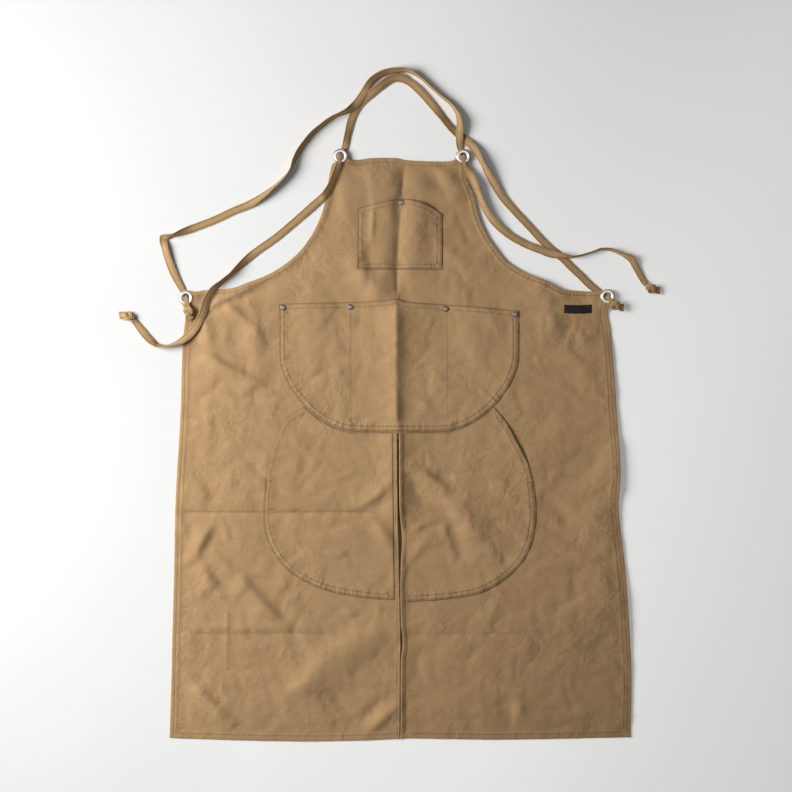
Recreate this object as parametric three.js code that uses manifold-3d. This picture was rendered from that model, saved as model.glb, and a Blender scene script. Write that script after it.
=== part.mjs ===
// Split-leg work apron of canvas, lying flat on a surface with its straps laid out round it.
// Millimetres. +X to the right as seen from above, +Y from hem to bib, +Z up from the surface.
// The origin is on the surface, under the middle of the apron without its straps.
import * as THREE from 'three';
import { mergeVertices } from 'three/addons/utils/BufferGeometryUtils.js';
import Module from 'manifold-3d';

const wasm = await Module();
wasm.setup();

// Driving sizes
const GAP = 0.3;
const CLOTH = 1.2;
const CELL = 29;
const TAPE = { width: 13, thickness: 1.5, chamfer: 0.4 };
const KNOT = { length: 14, width: 16, height: 9, tail: 11, tailInside: 3 };
const KNOT_TURN = { share: 0.8, width: 3, angle: 23 };
const EYELET = { outer: 11, bore: 5.9, barrel: 7.2, back: 0.9, front: 1.5, chamfer: 0.3, sides: 16 };
const CORNER_MARGIN = 1.5;
const RIVET = { cap: 4.7, capHeight: 1.5, back: 4, backHeight: 0.8, shank: 1.8, sides: 10 };
const HOLE_CLEARANCE = 0.4;
const LABEL = { left: 268, right: 313, top: 230, bottom: 216, thickness: 1, sag: 2 };

// Heights that the hardware needs under the cloth
const EYELET_LIFT = 4.1;
const RIVET_LIFT = 1.4;
const PLATEAU = { eyelet: 20, rivet: 16, fade: 46, cell: 18 };

// Hardware places
const eyelets = [
  { name: 'eyelet_bib_left', x: -98, y: 473 },
  { name: 'eyelet_bib_right', x: 103, y: 472 },
  { name: 'eyelet_waist_left', x: -351, y: 241 },
  { name: 'eyelet_waist_right', x: 339, y: 243 },
];
const rivets = [
  { name: 'rivet_bib', pocket: 'bib_pocket', x: 2, y: 397 },
  { name: 'rivet_waist_1', pocket: 'waist_pocket', x: -192, y: 225 },
  { name: 'rivet_waist_2', pocket: 'waist_pocket', x: -82, y: 226 },
  { name: 'rivet_waist_3', pocket: 'waist_pocket', x: 74, y: 223 },
  { name: 'rivet_waist_4', pocket: 'waist_pocket', x: 188, y: 214 },
];

// Outline of the body: a row for each section of an edge, left and right edges side by side
const armhole = [
  { leftX: -111, leftY: 461, rightX: 109, rightY: 441 },
  { leftX: -124, leftY: 398, rightX: 121, rightY: 409 },
  { leftX: -133, leftY: 369, rightX: 129, rightY: 376 },
  { leftX: -147, leftY: 342, rightX: 141, rightY: 347 },
  { leftX: -164, leftY: 319, rightX: 156, rightY: 324 },
  { leftX: -187, leftY: 298, rightX: 173, rightY: 303 },
  { leftX: -216, leftY: 280, rightX: 205, rightY: 282 },
  { leftX: -251, leftY: 266, rightX: 240, rightY: 268 },
  { leftX: -276, leftY: 257, rightX: 264, rightY: 256 },
  { leftX: -318, leftY: 254, rightX: 295, rightY: 252 },
];
const side = [
  { leftX: -353, leftY: 215, rightX: 340, rightY: 222 },
  { leftX: -357, leftY: 168, rightX: 345, rightY: 183 },
  { leftX: -361, leftY: 42, rightX: 355, rightY: 42 },
  { leftX: -366, leftY: -40, rightX: 360, rightY: -49 },
  { leftX: -369, leftY: -99, rightX: 357, rightY: -99 },
  { leftX: -371, leftY: -200, rightX: 368, rightY: -200 },
  { leftX: -374, leftY: -320, rightX: 376, rightY: -320 },
  { leftX: -376, leftY: -400, rightX: 378.6, rightY: -379 },
];
const bibTop = [
  { x: 86, y: 466 }, { x: 9, y: 467 }, { x: -7, y: 470 }, { x: -48, y: 470 }, { x: -81, y: 467 },
];
const hem = [
  { x: -378.6, y: -480 }, { x: -263, y: -484 }, { x: -115, y: -485.6 }, { x: 12, y: -481 },
  { x: 163, y: -483 }, { x: 377, y: -479 },
];
const slit = [
  { y: 20, left: -4.6, right: -2 },
  { y: -58, left: -4.8, right: -1.4 },
  { y: -110, left: -5.6, right: 0.6 },
  { y: -150, left: -6, right: 2 },
  { y: -213, left: -3, right: 0 },
  { y: -320, left: -2.8, right: 0.4 },
  { y: -380, left: -2.4, right: 0.2 },
  { y: -500, left: -2.2, right: 0.2 },
];

// Patch pockets
const BIB_POCKET = { left: -71, right: 69, bottom: 287, leftTop: 387, rightTop: 377 };
const BIB_POCKET_PEAK = { x: 2, y: 403, leftPull: -28, rightPull: 44, pullY: 400 };
const WAIST_POCKET = { left: -199, right: 194, bottom: 22, corner: 122, sideBottom: 145, roundness: 1.67 };
const waistMouth = [
  { x: -199, y: 231 }, { x: -119, y: 233 }, { x: -29, y: 236 }, { x: -6, y: 239 },
  { x: 6, y: 235 }, { x: 72, y: 230 }, { x: 139, y: 225 }, { x: 194, y: 220 },
];
const LEG_POCKET = { gapToWaistPocket: 2, inner: 12, meetsWaistPocket: 45 };
const legPocket = [
  { leftX: -190, leftY: 41, rightX: 174, rightY: 37 },
  { leftX: -205, leftY: 10, rightX: 191, rightY: 5 },
  { leftX: -217, leftY: -30, rightX: 209, rightY: -30 },
  { leftX: -224, leftY: -85, rightX: 221, rightY: -85 },
  { leftX: -223, leftY: -140, rightX: 220, rightY: -140 },
  { leftX: -206, leftY: -181, rightX: 205, rightY: -184 },
  { leftX: -179, leftY: -210, rightX: 175, rightY: -217 },
  { leftX: -130, leftY: -236, rightX: 130, rightY: -243 },
  { leftX: -63, leftY: -250, rightX: 60, rightY: -254 },
  { leftX: -12, leftY: -254, rightX: 12, rightY: -257 },
];

// Folds of the cloth where it lies: a ridge from one point to another
const folds = [
  { note: 'bib, left of the centre crease', x1: -18, y1: 470, x2: -22, y2: 300, width: 19, height: 4 },
  { note: 'bib, right of the centre crease', x1: 28, y1: 470, x2: 22, y2: 300, width: 17, height: 3.6 },
  { note: 'crease in the waist pocket', x1: -5, y1: 130, x2: -5, y2: 30, width: 24, height: 5 },
  { note: 'crease along the slit', x1: -4, y1: 20, x2: -3, y2: -420, width: 20, height: 3.4 },
  { note: 'left waist, slanting', x1: -300, y1: 190, x2: -236, y2: 130, width: 22, height: 4 },
  { note: 'left waist, upright', x1: -238, y1: 205, x2: -240, y2: 140, width: 16, height: 3 },
  { note: 'left leg, slanting', x1: -276, y1: -182, x2: -217, y2: -261, width: 20, height: 4 },
  { note: 'left leg, low corner', x1: -345, y1: -386, x2: -283, y2: -459, width: 18, height: 4 },
  { note: 'left leg, towards the slit', x1: -150, y1: -395, x2: -25, y2: -330, width: 26, height: 4 },
  { note: 'left leg, hem by the slit', x1: -74, y1: -451, x2: -14, y2: -400, width: 16, height: 3 },
  { note: 'left leg, across', x1: -340, y1: -96, x2: -60, y2: -96, width: 10, height: 1.6 },
  { note: 'right leg, slanting', x1: 60, y1: -100, x2: 165, y2: -178, width: 22, height: 4.4 },
  { note: 'right side, upper', x1: 320, y1: -20, x2: 245, y2: -70, width: 20, height: 4.5 },
  { note: 'right side, lower', x1: 240, y1: -135, x2: 330, y2: -192, width: 20, height: 4 },
  { note: 'right leg, low', x1: 90, y1: -330, x2: 250, y2: -360, width: 40, height: 3 },
  { note: 'left bib, to the waist', x1: -80, y1: 320, x2: -50, y2: 262, width: 16, height: 3 },
];
const FOLD_END = 30;
const FLOOR_CUT = 0.9;
const BULGE_CREST = 0.15;

// Bulges of the pocket walls over the body, so that each mouth stands open
const bulges = {
  bib_pocket: [
    { x: -41, y: 380, radiusX: 34, radiusY: 84, height: 9 },
    { x: 42, y: 374, radiusX: 34, radiusY: 84, height: 9 },
  ],
  waist_pocket: [
    { x: -140, y: 212, radiusX: 46, radiusY: 110, height: 7.5 },
    { x: -4, y: 215, radiusX: 66, radiusY: 130, height: 8.5 },
    { x: 131, y: 205, radiusX: 46, radiusY: 105, height: 7.5 },
  ],
  leg_pocket_left: [{ x: -190, y: 0, radiusX: 50, radiusY: 58, height: 8 }],
  leg_pocket_right: [{ x: 181, y: -2, radiusX: 50, radiusY: 58, height: 8 }],
};

// Routes of the two tapes, from the stopper knot at a waist eyelet to the free end's knot.
// on: what the tape lies on there. z: height of its middle where an eyelet holds it.
// width: where an eyelet gathers it. roll: degrees, with the right edge of the way up.
const strapLeft = [
  { x: -348.6, y: 228.4, z: 9.4, width: 8 },
  { x: -349.6, y: 233.9, z: 8.9, width: 6.8 },
  { x: -351, y: 241, z: 5, width: 6.2 },
  { x: -354, y: 247.6, z: 1, width: 6.8 },
  { x: -358, y: 256, z: 0.9, width: 11 },
  { x: -371, y: 280, on: 'floor' },
  { x: -380, y: 303, on: 'floor' },
  { x: -386, y: 323, on: 'floor' },
  { x: -389, y: 339, on: 'floor', roll: -30 },
  { x: -372, y: 343, on: 'floor', roll: -72 },
  { x: -340, y: 355, on: 'floor', roll: -10 },
  { x: -304, y: 369, on: 'floor' },
  { x: -272, y: 384, on: 'floor' },
  { x: -248, y: 394, on: 'floor', roll: 6 },
  { x: -230, y: 405, on: 'floor', roll: 38 },
  { x: -209, y: 421, on: 'floor', roll: 64 },
  { x: -190, y: 439, on: 'floor', roll: 74 },
  { x: -180, y: 452, on: 'floor', roll: 90 },
  { x: -174, y: 466, on: 'floor', roll: 112 },
  { x: -166, y: 481, on: 'floor', roll: 124 },
  { x: -145, y: 509, on: 'floor', roll: 124 },
  { x: -130, y: 522, on: 'floor', roll: 121 },
  { x: -114, y: 534, on: 'floor', roll: 116 },
  { x: -99, y: 541, on: 'strap', roll: 118 },
  { x: -86, y: 547, on: 'strap', roll: 140 },
  { x: -74, y: 557, on: 'strap', roll: 170 },
  { x: -60, y: 576, on: 'strap', roll: 180 },
  { x: -47, y: 595, on: 'strap', roll: 180 },
  { x: -30, y: 607, on: 'strap', roll: 176 },
  { x: -10, y: 612, on: 'strap', roll: 164 },
  { x: 11, y: 613, on: 'strap', roll: 146 },
  { x: 31, y: 603, on: 'floor', roll: 122 },
  { x: 49, y: 587, on: 'floor', roll: 116 },
  { x: 66, y: 572, on: 'floor', roll: 116 },
  { x: 82, y: 559, on: 'floor', roll: 118 },
  { x: 93, y: 544, on: 'floor', roll: 126 },
  { x: 97, y: 528, on: 'strap', roll: 150 },
  { x: 97, y: 508, on: 'strap', roll: 176 },
  { x: 97, y: 495, on: 'strap', roll: 180, width: 12 },
  { x: 98, y: 486.5, z: 1, roll: 180, width: 10 },
  { x: 100.4, y: 478.8, z: 1, roll: 180, width: 6.8 },
  { x: 103, y: 472, z: 5, roll: 180, width: 6.2 },
  { x: 103.4, y: 464.8, z: 8.9, roll: 180, width: 6.8 },
  { x: 105.4, y: 455, z: 7.4, roll: 180, width: 10 },
  { x: 112, y: 445, on: 'body', roll: 180 },
  { x: 119, y: 434, on: 'body', roll: 180 },
  { x: 127, y: 414, on: 'floor', roll: 180 },
  { x: 139, y: 386, on: 'floor', roll: 180 },
  { x: 154, y: 365, on: 'floor', roll: 180 },
  { x: 179, y: 344, on: 'floor', roll: 180 },
  { x: 208, y: 328, on: 'floor', roll: 180 },
  { x: 228, y: 320, on: 'strap', roll: 180 },
  { x: 247, y: 313, on: 'strap', roll: 180 },
  { x: 282, y: 308, on: 'strap', roll: 172 },
  { x: 294, y: 310, on: 'floor', roll: 122 },
  { x: 311, y: 315, on: 'floor', roll: 106 },
  { x: 328, y: 321, on: 'floor', roll: 122 },
  { x: 344, y: 320, on: 'floor', roll: 160 },
  { x: 362, y: 313, on: 'floor', roll: 180 },
  { x: 379, y: 305, on: 'floor', roll: 180 },
  { x: 388, y: 288, on: 'floor', roll: 180, width: 11 },
  { x: 400, y: 267, on: 'floor', roll: 180, width: 10 },
  { x: 403, y: 263, z: 3.6, roll: 180, width: 9 },
];
const strapRight = [
  { x: 346.4, y: 233, z: 9.4, width: 8 },
  { x: 343.1, y: 237.1, z: 8.9, width: 6.8 },
  { x: 339, y: 243, z: 5, width: 6.2 },
  { x: 332.8, y: 247, z: 1, width: 6.8 },
  { x: 323, y: 253, z: 0.9, width: 11 },
  { x: 310, y: 263, on: 'floor' },
  { x: 297, y: 276, on: 'floor' },
  { x: 281, y: 291, on: 'floor' },
  { x: 265, y: 307, on: 'floor' },
  { x: 246, y: 322, on: 'floor' },
  { x: 229, y: 339, on: 'floor' },
  { x: 208, y: 362, on: 'floor' },
  { x: 188, y: 383, on: 'floor' },
  { x: 167, y: 407, on: 'floor' },
  { x: 149, y: 435, on: 'floor' },
  { x: 134, y: 462, on: 'floor' },
  { x: 124, y: 481, on: 'floor' },
  { x: 109, y: 498, on: 'floor' },
  { x: 95, y: 509, on: 'floor' },
  { x: 82, y: 521, on: 'floor' },
  { x: 69, y: 537, on: 'floor', roll: -6 },
  { x: 51, y: 559, on: 'floor', roll: -12 },
  { x: 30, y: 582, on: 'floor', roll: -8 },
  { x: 15, y: 595, on: 'floor' },
  { x: 2, y: 601, on: 'floor' },
  { x: -13, y: 600, on: 'floor' },
  { x: -29, y: 590, on: 'floor' },
  { x: -47, y: 576, on: 'floor' },
  { x: -64, y: 561, on: 'floor' },
  { x: -76, y: 543, on: 'floor' },
  { x: -82, y: 526, on: 'floor', roll: 10 },
  { x: -87, y: 505, on: 'floor', roll: 24, width: 12 },
  { x: -91, y: 487, z: 0.9, width: 11 },
  { x: -94.4, y: 479.4, z: 1, width: 6.8 },
  { x: -98, y: 473, z: 5, width: 6.2 },
  { x: -99.4, y: 465.8, z: 8.9, width: 6.8 },
  { x: -101.5, y: 456.5, z: 7.4, width: 11 },
  { x: -106, y: 443, on: 'body' },
  { x: -114, y: 424, on: 'body' },
  { x: -124, y: 409, on: 'body' },
  { x: -133, y: 401, on: 'body' },
  { x: -147, y: 389, on: 'floor' },
  { x: -175, y: 364, on: 'floor' },
  { x: -205, y: 339, on: 'floor' },
  { x: -240, y: 314, on: 'floor' },
  { x: -262, y: 294, on: 'floor', roll: 30 },
  { x: -277, y: 280, on: 'floor', roll: 54 },
  { x: -292, y: 267, on: 'body', roll: 36 },
  { x: -307, y: 253, on: 'body', roll: 8 },
  { x: -317, y: 236, on: 'body' },
  { x: -322, y: 218, on: 'body' },
  { x: -331, y: 199, on: 'body' },
  { x: -345, y: 181, on: 'body', roll: -8 },
  { x: -359, y: 170, on: 'body', roll: -30 },
  { x: -372, y: 165, on: 'floor', roll: -58 },
  { x: -385, y: 162, on: 'floor', roll: -70 },
  { x: -399, y: 163, on: 'floor', roll: -52 },
  { x: -411, y: 173, on: 'floor', roll: -18 },
  { x: -424, y: 188, on: 'floor' },
  { x: -434, y: 201, on: 'floor', width: 10 },
  { x: -437.6, y: 205, z: 3.6, width: 9 },
];
const TAPE_REST = 0.05;
const TAPE_OVER_CLOTH = 0.8;
const MITRE_LIMIT = 1.6;
const knots = [
  { name: 'strap_left_stopper', x: -347, y: 219.6, heading: -78, on: 'body' },
  { name: 'strap_right_stopper', x: 353, y: 226.5, heading: -22, z: 11 },
  { name: 'strap_left_end_knot', x: 411, y: 256, heading: -12, on: 'floor' },
  { name: 'strap_right_end_knot', x: -446, y: 211, heading: 176, on: 'floor' },
];

// Materials
const CANVAS = new THREE.MeshStandardMaterial({ color: 0xa88356, roughness: 0.9 });
const TAPE_CLOTH = new THREE.MeshStandardMaterial({ color: 0xa47d51, roughness: 0.88 });
const NICKEL = new THREE.MeshStandardMaterial({ color: 0xc8c6c0, roughness: 0.3, metalness: 1 });
const STEEL = new THREE.MeshStandardMaterial({ color: 0x8d8a84, roughness: 0.4, metalness: 1 });
const WOVEN_BLACK = new THREE.MeshStandardMaterial({ color: 0x1b1a1a, roughness: 0.85 });

// The surface that the cloth takes where it lies
const smooth = (edge0, edge1, value) => THREE.MathUtils.smoothstep(value, edge0, edge1);

function foldHeight(fold, x, y) {
  const dx = fold.x2 - fold.x1;
  const dy = fold.y2 - fold.y1;
  const length = Math.hypot(dx, dy);
  const along = ((x - fold.x1) * dx + (y - fold.y1) * dy) / length;
  const across = ((x - fold.x1) * dy - (y - fold.y1) * dx) / length;
  const beyond = Math.max(0, -along, along - length);
  const fade = 1 - smooth(0, FOLD_END, beyond);
  return fold.height * fade * Math.exp(-((across / fold.width) ** 2));
}

function restingHeight(x, y) {
  let height = -FLOOR_CUT;
  for (const fold of folds) height += foldHeight(fold, x, y);
  height = Math.max(0, height);
  for (const rivet of rivets) height = pressedTo(height, RIVET_LIFT, PLATEAU.rivet, rivet, x, y);
  for (const eyelet of eyelets) height = pressedTo(height, EYELET_LIFT, PLATEAU.eyelet, eyelet, x, y);
  return height;
}

function pressedTo(height, lift, plateau, place, x, y) {
  const distance = Math.max(Math.abs(x - place.x), Math.abs(y - place.y));
  const share = 1 - smooth(plateau, plateau + PLATEAU.fade, distance);
  return THREE.MathUtils.lerp(height, lift, share);
}

// The grid that every cloth wall shares, so that walls laid on each other stay parallel
function gridLines(stops) {
  const lines = [stops[0]];
  for (let i = 1; i < stops.length; i += 1) {
    const span = stops[i] - stops[i - 1];
    const count = Math.max(1, Math.round(span / CELL));
    for (let k = 1; k <= count; k += 1) lines.push(stops[i - 1] + (span * k) / count);
  }
  return lines;
}
const [bibLeft, bibRight, waistLeft, waistRight] = eyelets;
const besides = (place) => [place - PLATEAU.cell, place + PLATEAU.cell];
const SIDE_FOLDS = [-240, 240];
const CENTRE_CREASE = [-30, -5, 20];
const CROSS_CREASE = -110;
const GRID_EDGE = { x: 385, bottom: -492 };
const gridX = gridLines([
  -GRID_EDGE.x, ...besides(waistLeft.x), SIDE_FOLDS[0], ...besides(bibLeft.x), ...CENTRE_CREASE,
  ...besides(bibRight.x), SIDE_FOLDS[1], ...besides(waistRight.x), GRID_EDGE.x,
]);
const gridY = gridLines([GRID_EDGE.bottom, CROSS_CREASE, ...besides(waistLeft.y), ...besides(bibLeft.y)]);

function cellOf(lines, value) {
  let index = 0;
  while (index < lines.length - 2 && lines[index + 1] < value) index += 1;
  const share = (value - lines[index]) / (lines[index + 1] - lines[index]);
  return { index, share: THREE.MathUtils.clamp(share, 0, 1) };
}

// A height function sampled on the grid and read back on the same two triangles per cell as the walls
function faceted(heightAt) {
  const heights = gridX.map((x) => gridY.map((y) => heightAt(x, y)));
  return (x, y) => {
    const column = cellOf(gridX, x);
    const row = cellOf(gridY, y);
    const corner = (i, j) => heights[column.index + i][row.index + j];
    const [u, v] = [column.share, row.share];
    if (u + v <= 1) return corner(0, 0) * (1 - u - v) + corner(1, 0) * u + corner(0, 1) * v;
    return corner(1, 1) * (u + v - 1) + corner(0, 1) * (1 - u) + corner(1, 0) * (1 - v);
  };
}
const clothBottom = faceted(restingHeight);
const clothTop = (x, y) => clothBottom(x, y) + CLOTH;

// The underside of each patch pocket's wall, raised from the body by its bulges
function bulgeAt(rows, x, y) {
  let height = 0;
  for (const row of rows) {
    const distance = Math.hypot((x - row.x) / row.radiusX, (y - row.y) / row.radiusY);
    height = Math.max(height, row.height * (1 - smooth(BULGE_CREST, 1, distance)));
  }
  return height;
}
const pocketRise = {};
for (const [name, rows] of Object.entries(bulges)) pocketRise[name] = faceted((x, y) => bulgeAt(rows, x, y));
const pocketBottom = (name, x, y) => clothTop(x, y) + GAP + pocketRise[name](x, y);

// Solids in and out of the boolean library
function toSolid(geometry) {
  const bare = new THREE.BufferGeometry();
  bare.setAttribute('position', geometry.getAttribute('position').clone());
  if (geometry.index) bare.setIndex(geometry.index.clone());
  const merged = mergeVertices(bare, 1e-4);
  const vertProperties = new Float32Array(merged.getAttribute('position').array);
  const triVerts = new Uint32Array(merged.index.array);
  return new wasm.Manifold(new wasm.Mesh({ numProp: 3, vertProperties, triVerts }));
}

function toGeometry(solid) {
  const mesh = solid.getMesh();
  const geometry = new THREE.BufferGeometry();
  geometry.setAttribute('position', new THREE.BufferAttribute(new Float32Array(mesh.vertProperties), 3));
  geometry.setIndex(new THREE.BufferAttribute(new Uint32Array(mesh.triVerts), 1));
  geometry.computeVertexNormals();
  return geometry;
}

// A closed slab over the shared grid, its underside at bottomAt(x, y)
function slab(xs, ys, bottomAt, thickness) {
  const positions = [];
  const triangles = [];
  const nodeOf = (i, j, top) => (i * ys.length + j) * 2 + top;
  const quad = (a, b, c, d) => triangles.push(a, b, d, b, c, d);
  for (const x of xs) {
    for (const y of ys) {
      const z = bottomAt(x, y);
      positions.push(x, y, z, x, y, z + thickness);
    }
  }
  const lastX = xs.length - 1;
  const lastY = ys.length - 1;
  for (let i = 0; i < lastX; i += 1) {
    for (let j = 0; j < lastY; j += 1) {
      quad(nodeOf(i, j, 1), nodeOf(i + 1, j, 1), nodeOf(i + 1, j + 1, 1), nodeOf(i, j + 1, 1));
      triangles.push(nodeOf(i, j, 0), nodeOf(i, j + 1, 0), nodeOf(i + 1, j, 0));
      triangles.push(nodeOf(i + 1, j, 0), nodeOf(i, j + 1, 0), nodeOf(i + 1, j + 1, 0));
    }
    quad(nodeOf(i, 0, 0), nodeOf(i + 1, 0, 0), nodeOf(i + 1, 0, 1), nodeOf(i, 0, 1));
    quad(nodeOf(i + 1, lastY, 0), nodeOf(i, lastY, 0), nodeOf(i, lastY, 1), nodeOf(i + 1, lastY, 1));
  }
  for (let j = 0; j < lastY; j += 1) {
    quad(nodeOf(0, j + 1, 0), nodeOf(0, j, 0), nodeOf(0, j, 1), nodeOf(0, j + 1, 1));
    quad(nodeOf(lastX, j, 0), nodeOf(lastX, j + 1, 0), nodeOf(lastX, j + 1, 1), nodeOf(lastX, j, 1));
  }
  const geometry = new THREE.BufferGeometry();
  geometry.setAttribute('position', new THREE.Float32BufferAttribute(positions, 3));
  geometry.setIndex(triangles);
  return geometry;
}

// A tall prism of an outline, to cut a slab with
const PRISM = { depth: 60, below: 20 };
function prism(shape, curveSegments = 1) {
  const options = { depth: PRISM.depth, bevelEnabled: false, curveSegments };
  return toSolid(new THREE.ExtrudeGeometry(shape, options).translate(0, 0, -PRISM.below));
}

function roundHole(place, radius, sides) {
  const shape = new THREE.Shape();
  for (let k = 0; k < sides; k += 1) {
    const angle = (2 * Math.PI * (k + 0.5)) / sides;
    const point = [place.x + radius * Math.cos(angle), place.y + radius * Math.sin(angle)];
    if (k === 0) shape.moveTo(...point);
    else shape.lineTo(...point);
  }
  return prism(shape);
}
const eyeletHole = (place) => roundHole(place, EYELET.barrel + HOLE_CLEARANCE, EYELET.sides);
const rivetHole = (place) => roundHole(place, RIVET.shank + HOLE_CLEARANCE, RIVET.sides);

const vectors = (points) => points.map((point) => new THREE.Vector2(point.x, point.y));
const leftOf = (rows) => rows.map((row) => ({ x: row.leftX, y: row.leftY }));
const rightOf = (rows) => rows.map((row) => ({ x: row.rightX, y: row.rightY }));

// Points of a round corner about an eyelet, from one bearing to another in degrees
function cornerAbout(eyelet, from, to, steps = 7) {
  const radius = EYELET.outer + CORNER_MARGIN;
  const points = [];
  for (let k = 0; k <= steps; k += 1) {
    const angle = THREE.MathUtils.degToRad(from + ((to - from) * k) / steps);
    points.push({ x: eyelet.x + radius * Math.cos(angle), y: eyelet.y + radius * Math.sin(angle) });
  }
  return points;
}

function bodyShape() {
  const points = [
    ...hem,
    ...rightOf(side).reverse(),
    ...cornerAbout(waistRight, -60, 130),
    ...rightOf(armhole).reverse(),
    ...cornerAbout(bibRight, -55, 190),
    ...bibTop,
    ...cornerAbout(bibLeft, -10, 235),
    ...leftOf(armhole),
    ...cornerAbout(waistLeft, 50, 240),
    ...leftOf(side),
  ];
  return new THREE.Shape(vectors(points));
}

function slitShape() {
  const leftEdge = slit.map((row) => ({ x: row.left, y: row.y }));
  const rightEdge = slit.map((row) => ({ x: row.right, y: row.y }));
  return new THREE.Shape(vectors([...leftEdge, ...rightEdge.reverse()]));
}

function apronBody() {
  let solid = toSolid(slab(gridX, gridY, clothBottom, CLOTH)).intersect(prism(bodyShape()));
  solid = solid.subtract(prism(slitShape()));
  for (const eyelet of eyelets) solid = solid.subtract(eyeletHole(eyelet));
  for (const rivet of rivets) solid = solid.subtract(rivetHole(rivet));
  return toGeometry(solid);
}

// The grid lines that a span needs, with the next line on each side
function within(lines, low, high) {
  return lines.filter((line, i) => (lines[i + 1] ?? line) >= low && (lines[i - 1] ?? line) <= high);
}

// A patch pocket's wall, cut to the pocket's outline
function patchPocket(name, shape) {
  const box = new THREE.Box2().setFromPoints(shape.getPoints(8));
  const xs = within(gridX, box.min.x, box.max.x);
  const ys = within(gridY, box.min.y, box.max.y);
  const bottomAt = (x, y) => pocketBottom(name, x, y);
  let solid = toSolid(slab(xs, ys, bottomAt, CLOTH)).intersect(prism(shape, 2));
  for (const rivet of rivets) solid = solid.subtract(rivetHole(rivet));
  return toGeometry(solid);
}

function bibPocketShape() {
  const { left, right, bottom, leftTop, rightTop } = BIB_POCKET;
  const peak = BIB_POCKET_PEAK;
  const shape = new THREE.Shape();
  shape.moveTo(left, bottom);
  shape.lineTo(right, bottom);
  shape.lineTo(right, rightTop);
  shape.quadraticCurveTo(peak.rightPull, peak.pullY, peak.x, peak.y);
  shape.quadraticCurveTo(peak.leftPull, peak.pullY, left, leftTop);
  return shape;
}

// A point of the waist pocket's round lower corner, at a bearing below level, moved out by a gap
function waistCorner(sign, bearing, gap = 0) {
  const { left, right, bottom, corner, sideBottom, roundness } = WAIST_POCKET;
  const angle = THREE.MathUtils.degToRad(bearing);
  const centreX = sign < 0 ? left + corner : right - corner;
  const x = centreX + sign * (corner + gap) * Math.cos(angle) ** (2 / roundness);
  const y = sideBottom - (sideBottom - bottom + gap) * Math.sin(angle) ** (2 / roundness);
  return { x, y };
}

function waistCornerPoints(sign, from, to, gap = 0, steps = 8) {
  const shares = Array.from({ length: steps + 1 }, (_, k) => k / steps);
  return shares.map((share) => waistCorner(sign, THREE.MathUtils.lerp(from, to, share), gap));
}

function waistPocketShape() {
  const corners = [...waistCornerPoints(-1, 0, 90), ...waistCornerPoints(1, 90, 0)];
  return new THREE.Shape(vectors([...corners, ...[...waistMouth].reverse()]));
}

// The knee pocket starts just below the waist pocket's round corner and ends at the slit's hem
function legPocketShape(rows, sign) {
  const { gapToWaistPocket, inner, meetsWaistPocket } = LEG_POCKET;
  const top = waistCornerPoints(sign, 90, meetsWaistPocket, gapToWaistPocket, 5);
  const shape = new THREE.Shape();
  shape.moveTo(sign * inner, top[0].y);
  for (const point of top) shape.lineTo(point.x, point.y);
  shape.splineThru(vectors(rows));
  return shape;
}

// Metal pieces, turned about their own axis
function turned(profile, sides) {
  const points = profile.map(([radius, z]) => new THREE.Vector2(radius, z));
  return new THREE.LatheGeometry(points, sides).rotateX(Math.PI / 2);
}

// The lathe's profile stands on the cloth's underside at height 0 and closes on itself
function eyeletGeometry() {
  const { outer, bore, barrel, chamfer, sides } = EYELET;
  const front = CLOTH + GAP;
  const back = -GAP - EYELET.back;
  return turned([
    [bore, back + chamfer],
    [bore + chamfer, back],
    [outer - 5 * chamfer, back],
    [outer - 4 * chamfer, -GAP],
    [barrel, -GAP],
    [barrel, front],
    [outer, front],
    [outer - 2 * chamfer, front + EYELET.front * 0.7],
    [(outer + bore) / 2 + 2 * chamfer, front + EYELET.front],
    [bore + 2 * chamfer, front + EYELET.front * 0.6],
    [bore, front],
    [bore, back + chamfer],
  ], sides);
}

// A rivet's cap sits on the highest cloth under its rim, and its back on the lowest
function rivetGeometry(rivet) {
  const { cap, capHeight, back, backHeight, shank, sides } = RIVET;
  const rim = Array.from({ length: sides }, (_, k) => {
    const angle = (2 * Math.PI * k) / sides;
    return [rivet.x + cap * Math.cos(angle), rivet.y + cap * Math.sin(angle)];
  });
  const front = Math.max(...rim.map(([x, y]) => pocketBottom(rivet.pocket, x, y))) + CLOTH + GAP;
  const under = Math.min(...rim.map(([x, y]) => clothBottom(x, y))) - GAP;
  return turned([
    [0, under - backHeight],
    [back, under - backHeight],
    [back, under],
    [shank, under],
    [shank, front],
    [cap, front],
    [cap * 0.85, front + capHeight * 0.7],
    [cap * 0.45, front + capHeight],
    [0, front + capHeight],
  ], sides);
}

// The label is a flat tab that sags a little at its middle
function labelGeometry() {
  const { left, right, top, bottom, thickness, sag } = LABEL;
  const middle = (left + right) / 2;
  const shape = new THREE.Shape();
  shape.moveTo(left, bottom);
  shape.quadraticCurveTo(middle, bottom - sag, right, bottom);
  shape.lineTo(right, top);
  shape.quadraticCurveTo(middle, top - sag, left, top);
  const xs = within(gridX, left, right);
  const ys = within(gridY, bottom - sag, top);
  const bottomAt = (x, y) => clothTop(x, y) + GAP;
  return toGeometry(toSolid(slab(xs, ys, bottomAt, thickness)).intersect(prism(shape, 6)));
}

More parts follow.
